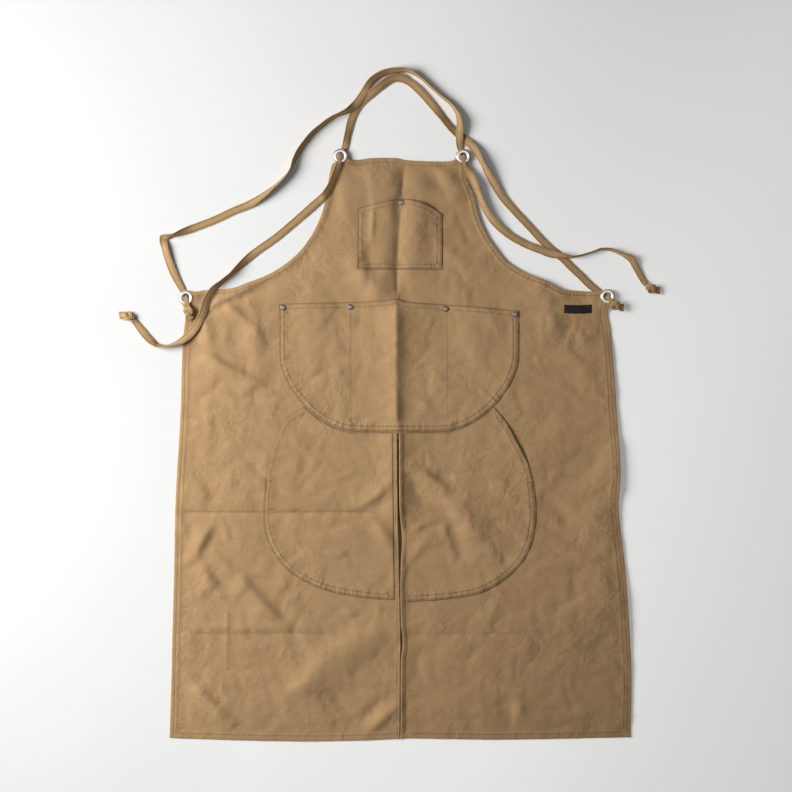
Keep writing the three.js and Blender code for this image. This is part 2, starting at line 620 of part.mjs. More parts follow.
// Height of a tape's middle where it rests on the floor, the cloth or the other tape
function tapeMiddle(row, across, width) {
  if (row.z !== undefined) return row.z;
  const roll = THREE.MathUtils.degToRad(row.roll ?? 0);
  const rise = (width / 2) * Math.abs(Math.sin(roll)) + (TAPE.thickness / 2) * Math.abs(Math.cos(roll));
  if (row.on === 'floor') return TAPE_REST + rise;
  if (row.on === 'strap') return TAPE_REST + TAPE.thickness + GAP + rise;
  const samples = [-0.6, -0.3, 0, 0.3, 0.6].map((share) => share * width);
  const under = samples.map((offset) => clothTop(row.x + across.x * offset, row.y + across.y * offset));
  return Math.max(...under) + TAPE_OVER_CLOTH + rise;
}

// A flat tape swept along its route: one ring of eight corners for each row
function tapeGeometry(route) {
  const flat = route.map((row) => new THREE.Vector2(row.x, row.y));
  const rings = route.map((row, i) => {
    const before = i > 0 ? flat[i].clone().sub(flat[i - 1]).normalize() : null;
    const after = i + 1 < flat.length ? flat[i + 1].clone().sub(flat[i]).normalize() : null;
    const way = (before ?? after).clone().add(after ?? before).normalize();
    const mitre = Math.min(MITRE_LIMIT, 1 / Math.max(0.1, way.dot(after ?? before)));
    const across = new THREE.Vector3(way.y, -way.x, 0);
    const width = row.width ?? TAPE.width;
    const middle = new THREE.Vector3(row.x, row.y, tapeMiddle(row, across, width));
    const roll = THREE.MathUtils.degToRad(row.roll ?? 0);
    const side = across.clone().multiplyScalar(Math.cos(roll) * mitre).setZ(Math.sin(roll));
    const up = across.clone().multiplyScalar(-Math.sin(roll)).setZ(Math.cos(roll));
    return tapeSection(width).map(([s, u]) => middle.clone().addScaledVector(side, s).addScaledVector(up, u));
  });
  return loft(rings);
}

function tapeSection(width) {
  const [w, t, c] = [width / 2, TAPE.thickness / 2, TAPE.chamfer];
  return [
    [w, c - t], [w, t - c], [w - c, t], [c - w, t],
    [-w, t - c], [-w, c - t], [c - w, -t], [w - c, -t],
  ];
}

// A closed solid through rings of equal count, with flat ends.
// Both halves of a ring take the same diagonal, so that a twisted tape keeps its thickness.
function loft(rings) {
  const count = rings[0].length;
  const positions = rings.flat().flatMap((point) => [point.x, point.y, point.z]);
  const triangles = [];
  for (let i = 0; i + 1 < rings.length; i += 1) {
    for (let k = 0; k < count; k += 1) {
      const [a, b] = [i * count + k, i * count + ((k + 1) % count)];
      if (k < count / 2) triangles.push(a, b + count, b, a, a + count, b + count);
      else triangles.push(a, a + count, b, b, a + count, b + count);
    }
  }
  const last = (rings.length - 1) * count;
  for (let k = 1; k + 1 < count; k += 1) {
    triangles.push(0, k, k + 1);
    triangles.push(last, last + k + 1, last + k);
  }
  const geometry = new THREE.BufferGeometry();
  geometry.setAttribute('position', new THREE.Float32BufferAttribute(positions, 3));
  geometry.setIndex(triangles);
  geometry.computeVertexNormals();
  return geometry;
}

// A tape's knot: a flattened lump with one turn of tape round it and a short tail
function knotGeometry() {
  const { length, width, height, tail, tailInside } = KNOT;
  const turn = KNOT_TURN;
  const lump = new THREE.SphereGeometry(1, 9, 6).scale(length / 2, width / 2, height / 2);
  const band = new THREE.TorusGeometry(1, 0.3, 5, 10);
  band.scale((turn.share * width) / 2, (turn.share * height) / 2, turn.width);
  band.rotateX(Math.PI / 2).rotateZ(Math.PI / 2 + THREE.MathUtils.degToRad(turn.angle));
  const end = new THREE.BoxGeometry(tail, TAPE.width - 1, TAPE.thickness * 1.4);
  end.translate(length / 2 + tail / 2 - tailInside, 0, 0);
  return toGeometry(toSolid(lump).add(toSolid(band)).add(toSolid(end)));
}

function knotHeight(knot) {
  if (knot.z !== undefined) return knot.z;
  const under = knot.on === 'body' ? clothTop(knot.x, knot.y) : 0;
  return under + GAP + KNOT.height / 2;
}

const apron = new THREE.Group();

function addPiece(name, geometry, look) {
  const mesh = new THREE.Mesh(geometry, look);
  mesh.name = name;
  apron.add(mesh);
  return mesh;
}

addPiece('apron_body', apronBody(), CANVAS);
addPiece('bib_pocket', patchPocket('bib_pocket', bibPocketShape()), CANVAS);
addPiece('waist_pocket', patchPocket('waist_pocket', waistPocketShape()), CANVAS);
addPiece('leg_pocket_left', patchPocket('leg_pocket_left', legPocketShape(leftOf(legPocket), -1)), CANVAS);
addPiece('leg_pocket_right', patchPocket('leg_pocket_right', legPocketShape(rightOf(legPocket), 1)), CANVAS);
for (const eyelet of eyelets) {
  addPiece(eyelet.name, eyeletGeometry(), NICKEL).position.set(eyelet.x, eyelet.y, EYELET_LIFT);
}
for (const rivet of rivets) {
  addPiece(rivet.name, rivetGeometry(rivet), STEEL).position.set(rivet.x, rivet.y, 0);
}
addPiece('label', labelGeometry(), WOVEN_BLACK);
addPiece('strap_left', tapeGeometry(strapLeft), TAPE_CLOTH);
addPiece('strap_right', tapeGeometry(strapRight), TAPE_CLOTH);
for (const knot of knots) {
  const mesh = addPiece(knot.name, knotGeometry(), TAPE_CLOTH);
  mesh.position.set(knot.x, knot.y, knotHeight(knot));
  mesh.rotation.z = THREE.MathUtils.degToRad(knot.heading);
}

export default apron;
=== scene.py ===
"""Split-leg work apron of canvas, laid flat on a pale floor with its tapes round it.

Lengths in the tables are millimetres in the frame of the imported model: +X to the right as seen from
above, +Y from hem to bib, +Z up from the floor. Objects are in metres.
"""

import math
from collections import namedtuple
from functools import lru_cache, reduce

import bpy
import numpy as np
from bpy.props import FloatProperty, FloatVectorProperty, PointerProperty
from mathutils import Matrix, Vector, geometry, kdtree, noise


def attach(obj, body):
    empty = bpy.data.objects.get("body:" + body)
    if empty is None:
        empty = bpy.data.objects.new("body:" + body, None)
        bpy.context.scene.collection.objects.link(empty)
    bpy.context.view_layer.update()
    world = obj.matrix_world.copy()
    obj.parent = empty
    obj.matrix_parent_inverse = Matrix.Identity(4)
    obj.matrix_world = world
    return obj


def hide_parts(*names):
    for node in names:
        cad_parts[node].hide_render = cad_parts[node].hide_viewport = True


bl_info = {
    "name": "Split-leg canvas apron",
    "version": (1, 0, 0),
    "blender": (4, 5, 0),
    "location": "View3D > Sidebar > Apron",
    "description": "Builds the cloth, tapes and metal trim of a split-leg work apron, and its studio",
    "category": "Object",
}

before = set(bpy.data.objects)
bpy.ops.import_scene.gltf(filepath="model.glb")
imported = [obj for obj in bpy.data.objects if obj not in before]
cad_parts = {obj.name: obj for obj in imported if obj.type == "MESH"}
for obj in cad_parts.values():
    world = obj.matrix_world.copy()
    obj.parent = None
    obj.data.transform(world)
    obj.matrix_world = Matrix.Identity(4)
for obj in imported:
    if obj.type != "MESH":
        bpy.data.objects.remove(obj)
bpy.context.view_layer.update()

MM = 0.001
TINY = 1e-6
UPWARD = (0.0, 0.0, 1.0)

# Hardware places
Place = namedtuple("Place", "name x y")
EYELETS = [
    Place("eyelet_bib_left", -98, 473),
    Place("eyelet_bib_right", 103, 472),
    Place("eyelet_waist_left", -351, 241),
    Place("eyelet_waist_right", 339, 243),
]
RIVETS = [
    Place("rivet_bib", 2, 397),
    Place("rivet_waist_1", -192, 225),
    Place("rivet_waist_2", -82, 226),
    Place("rivet_waist_3", 74, 223),
    Place("rivet_waist_4", 188, 214),
]
EYELET_OUTER = 11.0
EYELET_HOLE = 7.6
HOLE_SIDES = 24
HOLE_MARGIN = 1.0
STITCH_MARGIN = 0.5
CORNER_MARGIN = 1.5
RIVET_CAP = 4.7
RIVET_PROBES = 16
# The cloth lies level, at its lift, out to flat round an eyelet or a rivet, and fades into its folds
EYELET_LIFT = 4.1
EYELET_FLAT = 13.0
EYELET_FADE = 20.0
RIVET_LIFT = 1.4
RIVET_FLAT = 7.0
RIVET_FADE = 24.0

# Outline of the body: one row for each section of an edge, left and right edges side by side
EdgeRow = namedtuple("EdgeRow", "left_x left_y right_x right_y")
ARMHOLE = [
    EdgeRow(-111, 461, 109, 441),
    EdgeRow(-124, 398, 121, 409),
    EdgeRow(-133, 369, 129, 376),
    EdgeRow(-147, 342, 141, 347),
    EdgeRow(-164, 319, 156, 324),
    EdgeRow(-187, 298, 173, 303),
    EdgeRow(-216, 280, 205, 282),
    EdgeRow(-251, 266, 240, 268),
    EdgeRow(-276, 257, 264, 256),
    EdgeRow(-318, 254, 295, 252),
]
SIDE = [
    EdgeRow(-353, 215, 340, 222),
    EdgeRow(-357, 168, 345, 183),
    EdgeRow(-361, 42, 355, 42),
    EdgeRow(-366, -40, 360, -49),
    EdgeRow(-369, -99, 357, -99),
    EdgeRow(-371, -200, 368, -200),
    EdgeRow(-374, -320, 376, -320),
    EdgeRow(-376, -400, 378.6, -379),
]
BIB_TOP = [(86, 466), (9, 467), (-7, 470), (-48, 470), (-81, 467)]
HEM_LEFT = [(-378.6, -480), (-263, -484), (-115, -485.6), (-0.5, -481.5)]
HEM_RIGHT = [(0.2, -481.4), (12, -481), (163, -483), (377, -479)]
SlitRow = namedtuple("SlitRow", "y left right")
SLIT = [
    SlitRow(20, -4.9, -2.2),
    SlitRow(-58, -4.6, -1.9),
    SlitRow(-110, -4.0, -1.0),
    SlitRow(-138, -3.4, 1.6),
    SlitRow(-156, -2.8, 3.4),
    SlitRow(-180, -2.2, 1.4),
    SlitRow(-213, -1.5, 0.2),
    SlitRow(-254, -0.8, 0.1),
    SlitRow(-296, 0.2, 1.2),
    SlitRow(-312, 0.8, 3.2),
    SlitRow(-330, 0.9, 3.5),
    SlitRow(-350, 0.3, 1.1),
    SlitRow(-380, -0.1, 0.6),
]

# Patch pockets
BIB_POCKET = {"left": -71, "right": 69, "bottom": 287, "left_top": 387, "right_top": 377}
BIB_PEAK = {"x": 2, "y": 403, "left_pull": -28, "right_pull": 44, "pull_y": 400}
WAIST_POCKET = {"left": -199, "right": 194, "bottom": 22, "corner": 122, "side_bottom": 145}
WAIST_ROUNDNESS = 1.67
WAIST_MOUTH = [
    (-199, 231), (-119, 233), (-29, 236), (-6, 239), (6, 235), (72, 230), (139, 225), (194, 220),
]
WAIST_DIVIDERS = [((-82, 226), (-81.5, 25)), ((76, 223), (77.5, 25))]
LEG_POCKET_GAP = 1.2
# Inner edge of a leg pocket at its top, against the strip along the slit
LEG_POCKET_INNER = {-1: -12.9, 1: 8.2}
LEG_POCKET_MEETS = 45
LEG_MOUTH_END = -57
LEG_POCKET = [
    EdgeRow(-190, 41, 174, 37),
    EdgeRow(-205, 10, 191, 5),
    EdgeRow(-217, -30, 209, -30),
    EdgeRow(-224, -85, 221, -85),
    EdgeRow(-223, -140, 220, -140),
    EdgeRow(-206, -181, 205, -184),
    EdgeRow(-179, -210, 175, -217),
    EdgeRow(-130, -236, 130, -243),
    EdgeRow(-63, -250, 60, -254),
    EdgeRow(-9.8, -254, 9.8, -257),
]
POCKET_GAP = 0.1
# Short bars of stitches that hold a pocket's corners
BARTACKS = {
    "leg_pocket_left": [
        ((-224.6, -55.2), (-212.0, -58.4)), ((-224.6, -56.4), (-212.2, -59.6)),
        ((-224.8, -57.6), (-212.4, -60.8)),
    ],
    "leg_pocket_right": [
        ((217.6, -58.6), (205.6, -61.8)), ((217.8, -59.8), (205.8, -63.0)), ((218.0, -61.0), (206.0, -64.2)),
        ((11.0, -247.0), (23.0, -247.6)), ((11.0, -248.4), (22.0, -249.0)), ((11.2, -253.0), (20.0, -253.4)),
        ((12.0, -245.0), (12.4, -254.6)), ((13.4, -245.0), (13.8, -254.6)),
    ],
}
Bulge = namedtuple("Bulge", "x y radius_x radius_y height")
BULGES = {
    "bib_pocket": [Bulge(-26, 380, 44, 84, 2.0), Bulge(24, 374, 46, 84, 4.0)],
    "waist_pocket": [
        Bulge(-140, 212, 46, 110, 2.4), Bulge(-4, 215, 66, 130, 2.4), Bulge(131, 205, 46, 105, 2.6),
    ],
    "leg_pocket_left": [Bulge(-190, 0, 50, 58, 2.4)],
    "leg_pocket_right": [Bulge(181, -2, 50, 58, 1.9)],
}
BULGE_CREST = 0.15

# Folds of the cloth where it lies: a line of points, a width on the left and on the right of its way,
# and a height, negative for a valley. Sharpness 1 is a knife edge, 2 is round.
Fold = namedtuple("Fold", "points left right height sharpness", defaults=(2.0,))
BIB_CREASE = [(7.5, 472), (2.6, 418), (-1.5, 367), (-5.6, 303), (-6.4, 240)]
WAIST_RIDGE = [(-6.5, 240), (-6.5, 130), (-6, 21)]
KNEE_CREASE = [(-372, -109), (-300, -109.5), (-227, -110), (-83, -109), (-42, -111)]
SHIN_CREASE_LEFT = [(-345, -309), (-263, -309), (-165, -308), (-104, -310)]
SHIN_CREASE_RIGHT = [(14, -309), (60, -310), (130, -309), (205, -310)]
LEG_CREASE_HIGH = [(-283, -262), (-284, -330), (-286, -368)]
LEG_CREASE_LOW = [(-291, -378), (-293, -421)]
FOLDS = [
    # Bib: a broad swell with a sharp valley down its middle, and lesser folds beside it
    Fold(BIB_CREASE, 46, 42, 5.2),
    Fold(BIB_CREASE, 20, 14, -6.8, 1.15),
    Fold([(-82, 323), (-61, 278), (-38, 253), (-12, 239)], 15, 20, 5.0),
    Fold([(44, 438), (70, 424), (95, 409)], 9, 9, -2.4),
    Fold([(36, 466), (62, 452), (92, 436)], 6, 7, 1.8),
    Fold([(-102, 442), (-94, 408), (-88, 380)], 28, 10, 2.8),
    Fold([(-44, 396), (-47, 334)], 4, 4, 2.2),
    Fold([(-52, 474), (-47, 440), (-46, 404)], 14, 10, 2.0, 1.4),
    Fold([(60, 330), (92, 306), (130, 296)], 10, 12, 1.8),
    Fold([(206, 300), (224, 276), (240, 240)], 12, 20, 3.2),
    Fold([(66, 466), (82, 424), (104, 388)], 26, 14, 3.4),
    # Middle of the waist pocket, then along the slit
    Fold(WAIST_RIDGE, 12, 18, 6.9, 1.2),
    Fold([(-6, 21), (-5, -80), (-4, -136)], 24, 26, 5.6, 1.5),
    Fold([(-5, -185), (-2, -300), (-1, -488)], 20, 22, 1.4, 1.5),
    # Left waist
    Fold([(-329, 151), (-271, 121), (-227, 97)], 8, 22, 5.2, 1.5),
    Fold([(-237, 206), (-237, 136)], 14, 18, 3.4),
    Fold([(-293, 238), (-263, 211), (-234, 188)], 7, 9, 2.6),
    Fold([(-312, 211), (-284, 227), (-250, 240), (-224, 252)], 6, 9, -1.6),
    Fold([(-332, 225), (-318, 195), (-308, 150)], 10, 10, 2.8),
    Fold([(-348, 77), (-189, 78)], 4, 4, -0.9, 1.1),
    # Left leg
    Fold(KNEE_CREASE, 6, 4.5, -2.8, 1.0),
    Fold([(-70, -104), (-40, -84), (-16, -60)], 13, 7, 4.4, 1.5),
    Fold([(-46, -122), (-30, -140), (-13, -172)], 9, 11, 3.6),
    Fold([(-270, -208), (-227, -258), (-186, -300)], 9, 26, 4.8),
    Fold([(-309, -130), (-324, -156), (-340, -185)], 8, 14, 4.8),
    Fold([(-334, -185), (-316, -213), (-294, -243)], 8, 12, 3.4),
    Fold([(-366, -112), (-352, -156)], 9, 9, 3.0),
    Fold([(-352, -55), (-356, -103)], 7, 7, 1.6),
    Fold([(-336, -30), (-318, -60), (-300, -96)], 16, 10, -2.4),
    Fold([(-250, -24), (-223, -56)], 7, 8, -1.8),
    Fold([(-116, -60), (-66, -40)], 6, 7, 1.2),
    Fold([(-345, -387), (-278, -454)], 9, 13, 4.8),
    Fold(LEG_CREASE_HIGH, 4.5, 4.5, 1.0, 1.1),
    Fold(LEG_CREASE_LOW, 4, 4, 0.8, 1.1),
    Fold([(-357, -300), (-263, -299), (-165, -299), (-110, -301)], 6, 6, 1.1, 1.3),
    Fold(SHIN_CREASE_LEFT, 5, 5, -0.9, 1.0),
    Fold([(-178, -416), (-150, -384), (-124, -354), (-84, -326), (-14, -302)], 20, 34, 5.4),
    Fold([(-58, -476), (-28, -445), (-6, -427)], 8, 10, 3.6),
    Fold([(-74, -462), (-42, -430), (-20, -412)], 9, 7, -2.2),
    Fold([(-115, -405), (-80, -446)], 10, 9, -2.6),
    Fold([(-225, -358), (-206, -431)], 4, 4, -0.8, 1.1),
    Fold([(-92, -265), (-74, -288)], 6, 6, 1.4),
    # Right leg
    Fold([(14, -54), (24, -74), (45, -107)], 9, 11, -2.6, 1.4),
    Fold([(17, -36), (42, -50), (66, -70), (78, -86)], 9, 13, 4.6),
    Fold([(57, -45), (91, -60)], 8, 8, -2.2),
    Fold([(76, -117), (103, -185)], 12, 7, -3.2),
    Fold([(76, -82), (106, -118), (138, -166)], 24, 14, 4.8),
    Fold([(14, -146), (40, -128)], 6, 7, 1.8),
    Fold([(16, -188), (46, -150)], 7, 9, 1.6),
    Fold([(166, -172), (175, -200)], 6, 6, -1.6),
    Fold([(140, -136), (175, -122)], 10, 9, -1.6),
    Fold([(357, -205), (327, -254), (286, -287)], 34, 40, 3.2),
    Fold([(163, -402), (184, -458)], 14, 14, -2.4),
    Fold([(190, -421), (202, -445)], 10, 8, 1.6),
    Fold([(231, -277), (308, -238)], 14, 12, -1.8),
    Fold(SHIN_CREASE_RIGHT, 5, 5, -0.9, 1.0),
    # Right side
    Fold([(327, -4), (286, -36), (265, -58)], 22, 14, -4.2),
    Fold([(238, -88), (262, -112), (282, -140)], 9, 9, -3.2, 1.4),
    Fold([(244, -136), (280, -160), (344, -178)], 9, 9, -3.2, 1.4),
    Fold([(333, -88), (328, -120), (330, -166)], 18, 26, 2.2),
    Fold([(326, 264), (331, 240), (335, 216)], 6, 7, -2.4),
    Fold([(313, 252), (316, 230)], 6, 6, 1.8),
    Fold([(324, 240), (333, 190)], 6, 7, -2.0),
    Fold([(246, 222), (252, 176)], 14, 20, 3.0),
    Fold([(284, 196), (300, 172), (318, 182)], 7, 7, 1.5),
]
# A fold gets lower over the taper at each end, down to a share of its height
FOLD_TAPER = 30.0
FOLD_TAPER_MOST = 0.4
FOLD_END = 0.35
FOLD_RISE = 1.25
# Sharp creases, and a strip beside the slit, painted darker as shade: a line, how dark it is and half its
# width
Crease = namedtuple("Crease", "points dark width", defaults=(1.5,))
CREASES = [
    Crease(KNEE_CREASE, 1.5),
    Crease(SHIN_CREASE_LEFT, 0.6),
    Crease(SHIN_CREASE_RIGHT, 0.5),
    Crease(LEG_CREASE_HIGH, 0.35),
    Crease(LEG_CREASE_LOW, 0.35),
    Crease(BIB_CREASE, 0.9),
    # The right leg's strip beside the slit is painted darker, standing in for the shade of the left leg's
    # edge
    Crease([(4.6, 20), (5.6, -120), (4.6, -250), (6.0, -330), (4.6, -484)], 0.75, 4.8),
]
CREASE_OFFSETS = (-5.0, -2.2, 0.0, 2.2, 5.0)
CREASE_STEP = 3.6
# Where an edge of the cloth stands off the floor
EDGE_LIFTS = [
    Fold([(357, 24), (360, -26), (359, -96)], 22, 30, 5.8),
    Fold([(116, 424), (148, 348), (200, 296), (262, 270), (318, 254)], 26, 26, 2.4),
    Fold([(-320, 222), (-291, 238), (-258, 251), (-231, 264)], 9, 5, 5.8, 1.5),
    Fold([(-316, 207), (-286, 223), (-252, 236), (-226, 249)], 6, 18, 4.6, 1.4),
    Fold([(318, 262), (322, 236), (326, 208)], 6, 12, 2.6),
    Fold([(236, 300), (256, 262), (268, 222)], 20, 34, 2.8),
    Fold([(352, 130), (355, 60)], 20, 34, 1.6),
    Fold([(373, -230), (375, -290), (377, -345)], 26, 26, 1.8),
    Fold([(348, 180), (356, 40), (360, -100), (368, -200), (376, -320), (378, -470)], 30, 34, 1.4),
]
# How far the cloth stands off the floor, inside and at its edges, and how low its folds are there
LIE = 2.6
LIE_EDGE = 0.25
LIE_FADE = 46.0
EDGE_FOLDS = 0.45
EDGE_FOLDS_REACH = 30.0
FLOOR_SOFTNESS = 0.3
# Noise on the cloth: length, height and seed of each octave
WRINKLES = [(84.0, 0.8, 3.7)]
CRUMPLES = [(66.0, 3.0, 21.3), (31.0, 1.9, 33.7), (15.0, 0.8, 41.9)]
CRUMPLE_LEVEL = 0.2
CRUMPLE_WARP = {"length": 46.0, "height": 26.0, "seeds": (51.1, 63.9)}
BIB_WAVES = {"length": 17.0, "height": 0.55, "y": 470.0, "fade": 22.0, "seed": 5.1}
# The right leg's edge lies low, in the shade of the left leg's, with a facing under the gap
SLIT_DROP = {
    "depth": 0.25, "belly": 2.0, "belly_y": -158.0, "belly_reach": 20.0,
    "reach": 7.0, "least": 1.4, "start": 20.0, "full": -40.0,
}
FACING = {"left": -8.0, "right": 5.0, "top": 14.0, "bottom": -477.0, "rise": 1.05, "step": 6.0}
FACING_COLUMNS = 7
FACING_WAVES = {"length": 14.0, "height": 0.12, "seed": 8.8}
FACING_LOWEST = 0.05

# Hems and seams: width of the folded strip, how far it stands up, where its stitches run, how much it
# is gathered, how deep its stitches lie, and how far it leans up to the edge
GROOVE_DEPTH = 0.22
EdgeStyle = namedtuple("EdgeStyle", "width rise stitches pucker groove lean", defaults=(GROOVE_DEPTH, 0.0))
EDGE_STYLES = {
    "hem": EdgeStyle(10.5, 0.4, (8.8,), 0.5),
    "side": EdgeStyle(14.0, 0.4, (5.6, 12.0), 0.4),
    "armhole": EdgeStyle(9.0, 0.6, (7.2,), 0.7, 0.32),
    "top": EdgeStyle(9.5, 0.4, (7.6,), 0.5),
    "slit left": EdgeStyle(8.0, 1.1, (4.2, 7.0), 0.15, 0.3, 0.6),
    "slit right": EdgeStyle(9.6, 0.9, (7.4,), 0.15, 0.3, 1.1),
    "seam": EdgeStyle(11.0, 0.15, (3.0, 9.4), 1.1, 0.36),
    "bib seam": EdgeStyle(10.5, 0.15, (2.6, 8.8), 0.7, 0.32),
    "mouth": EdgeStyle(10.0, 0.25, (8.2,), 0.4),
    "tucked": EdgeStyle(0.4, 0.0, (), 0.0),
}
# The rounded edge of a cloth: distance from the edge, and its underside and top as shares of its thickness
EDGE_ROUND = [(0.0, 0.36, 0.64), (0.7, 0.1, 0.92), (2.0, 0.0, 1.0)]
EDGE_TONE_REACH = 1.6
STRIP_SOFT = 0.8
GROOVE_WIDTH = 0.9
PUCKER = {"length": 10.0, "across": 0.35, "seed": 2.3, "middle": 0.7, "reach": 0.8}
STITCH_PITCH = 3.3
STITCH_LENGTH = 2.5
STITCH_SUNK = 0.2
BARTACK_STEP = 3.0

# Rows of mesh points beside an edge: how far apart they are at least, and where they stand about its strip
ROW_LEAST = 0.5
ROW_APART = 0.55
ROW_SLACK = 0.3
STRIP_ROWS = (-0.9, 0.9, 4.4)
STITCH_ROWS = (-1.5, 0.0, 1.5)
TUCKED_REACH = 10.2
BODY_MARGIN = 16.0
POCKET_MARGIN = 15.0
CREASE_CLEAR = 0.55
SEAM_SLACK = 0.4

# Routes of the two tapes, from the stopper knot at a waist eyelet to the free end's knot.
# on: what the tape lies on. z: height of its middle where an eyelet holds it.
# width: less where an eyelet gathers it or it stands on edge, more where it is spread at a crossing.
# kink: a sharp bend.
# roll: degrees, with the right edge of the way up.
TAPE_WIDTH = 13.0
TAPE_THICKNESS = 1.5
TAPE_REST = 0.05
TAPE_GAP = 0.3
TAPE_OVER_CLOTH = 0.35
TAPE_OVER_TAPE = TAPE_REST + TAPE_THICKNESS + TAPE_GAP
# Shares of a stretch from which it counts as lying on the cloth or a tape, or as held
TAPE_LIES = 0.3
TAPE_HELD = 0.5
TAPE_STEP = 2.6
TAPE_PROBES = (-0.6, -0.3, 0.0, 0.3, 0.6)
TAPE_SMOOTHING = (0.1, 0.2, 0.4, 0.2, 0.1)
TapeRow = namedtuple("TapeRow", "x y on z width roll kink", defaults=("held", None, TAPE_WIDTH, 0.0, False))
STRAP_LEFT = [
    TapeRow(-348.6, 228.4, z=9.4, width=8),
    TapeRow(-349.6, 233.9, z=8.9, width=6.8),
    TapeRow(-351, 241, z=5, width=6.2),
    TapeRow(-354, 247.6, z=1, width=6.8),
    TapeRow(-358, 256, z=0.9, width=11),
    TapeRow(-371, 280, "floor", roll=8),
    TapeRow(-380, 303, "floor", roll=18),
    TapeRow(-386, 323, "floor", roll=28),
    TapeRow(-389, 339, "floor", roll=-24, kink=True),
    TapeRow(-372, 343, "floor", roll=-76),
    TapeRow(-340, 355, "floor", roll=-6),
    TapeRow(-304, 369, "floor"),
    TapeRow(-272, 384, "floor"),
    TapeRow(-248, 394, "floor", roll=6),
    TapeRow(-230, 405, "floor", roll=38),
    TapeRow(-209, 421, "floor", roll=64),
    TapeRow(-190, 439, "floor", roll=74),
    TapeRow(-180, 452, "floor", roll=90),
    TapeRow(-174, 466, "floor", roll=112),
    TapeRow(-166, 481, "floor", roll=124),
    TapeRow(-145, 509, "floor", roll=117),
    TapeRow(-130, 522, "floor", roll=114),
    TapeRow(-114, 534, "floor", roll=110),
    TapeRow(-99, 541, "strap", roll=108),
    TapeRow(-86, 547, "strap", roll=128),
    TapeRow(-74, 557, "strap", roll=170),
    TapeRow(-60, 576, "strap", roll=172),
    TapeRow(-47, 595, "strap", roll=142, width=15),
    TapeRow(-30, 607, "strap", roll=128, width=15),
    TapeRow(-10, 612, "strap", roll=126, width=15),
    TapeRow(11, 613, "strap", roll=114, width=12),
    TapeRow(31, 603, "floor", roll=108, width=9),
    TapeRow(49, 587, "floor", roll=105, width=9),
    TapeRow(66, 572, "floor", roll=106, width=9),
    TapeRow(82, 559, "floor", roll=112, width=9),
    TapeRow(93, 544, "floor", roll=122, width=10.5),
    TapeRow(97, 528, "strap", roll=136),
    TapeRow(97, 508, "strap", roll=160),
    TapeRow(97, 495, "strap", roll=180, width=12),
    TapeRow(98, 486.5, z=1, roll=180, width=10),
    TapeRow(100.4, 478.8, z=1, roll=180, width=6.8),
    TapeRow(103, 472, z=5, roll=180, width=6.2),
    TapeRow(103.4, 464.8, z=8.9, roll=180, width=6.8),
    TapeRow(105.4, 455, z=7.4, roll=180, width=10),
    TapeRow(112, 445, "body", roll=166),
    TapeRow(119, 434, "body", roll=146),
    TapeRow(127, 414, "floor", roll=130),
    TapeRow(139, 386, "floor", roll=136),
    TapeRow(154, 365, "floor", roll=156),
    TapeRow(179, 344, "floor", roll=176),
    TapeRow(208, 328, "floor", roll=180),
    TapeRow(228, 320, "strap", roll=180),
    TapeRow(247, 313, "strap", roll=172),
    TapeRow(282, 308, "strap", roll=102, width=9),
    TapeRow(294, 310, "floor", roll=101, width=9),
    TapeRow(311, 315, "floor", roll=98, width=9),
    TapeRow(328, 321, "floor", roll=104, width=9, kink=True),
    TapeRow(344, 320, "floor", roll=114, width=9),
    TapeRow(362, 313, "floor", roll=116, width=9),
    TapeRow(379, 305, "floor", roll=152, kink=True),
    TapeRow(388, 288, "floor", roll=172, width=11),
    TapeRow(400, 267, "floor", roll=180, width=10),
    TapeRow(403, 263, z=3.6, roll=180, width=9),
]
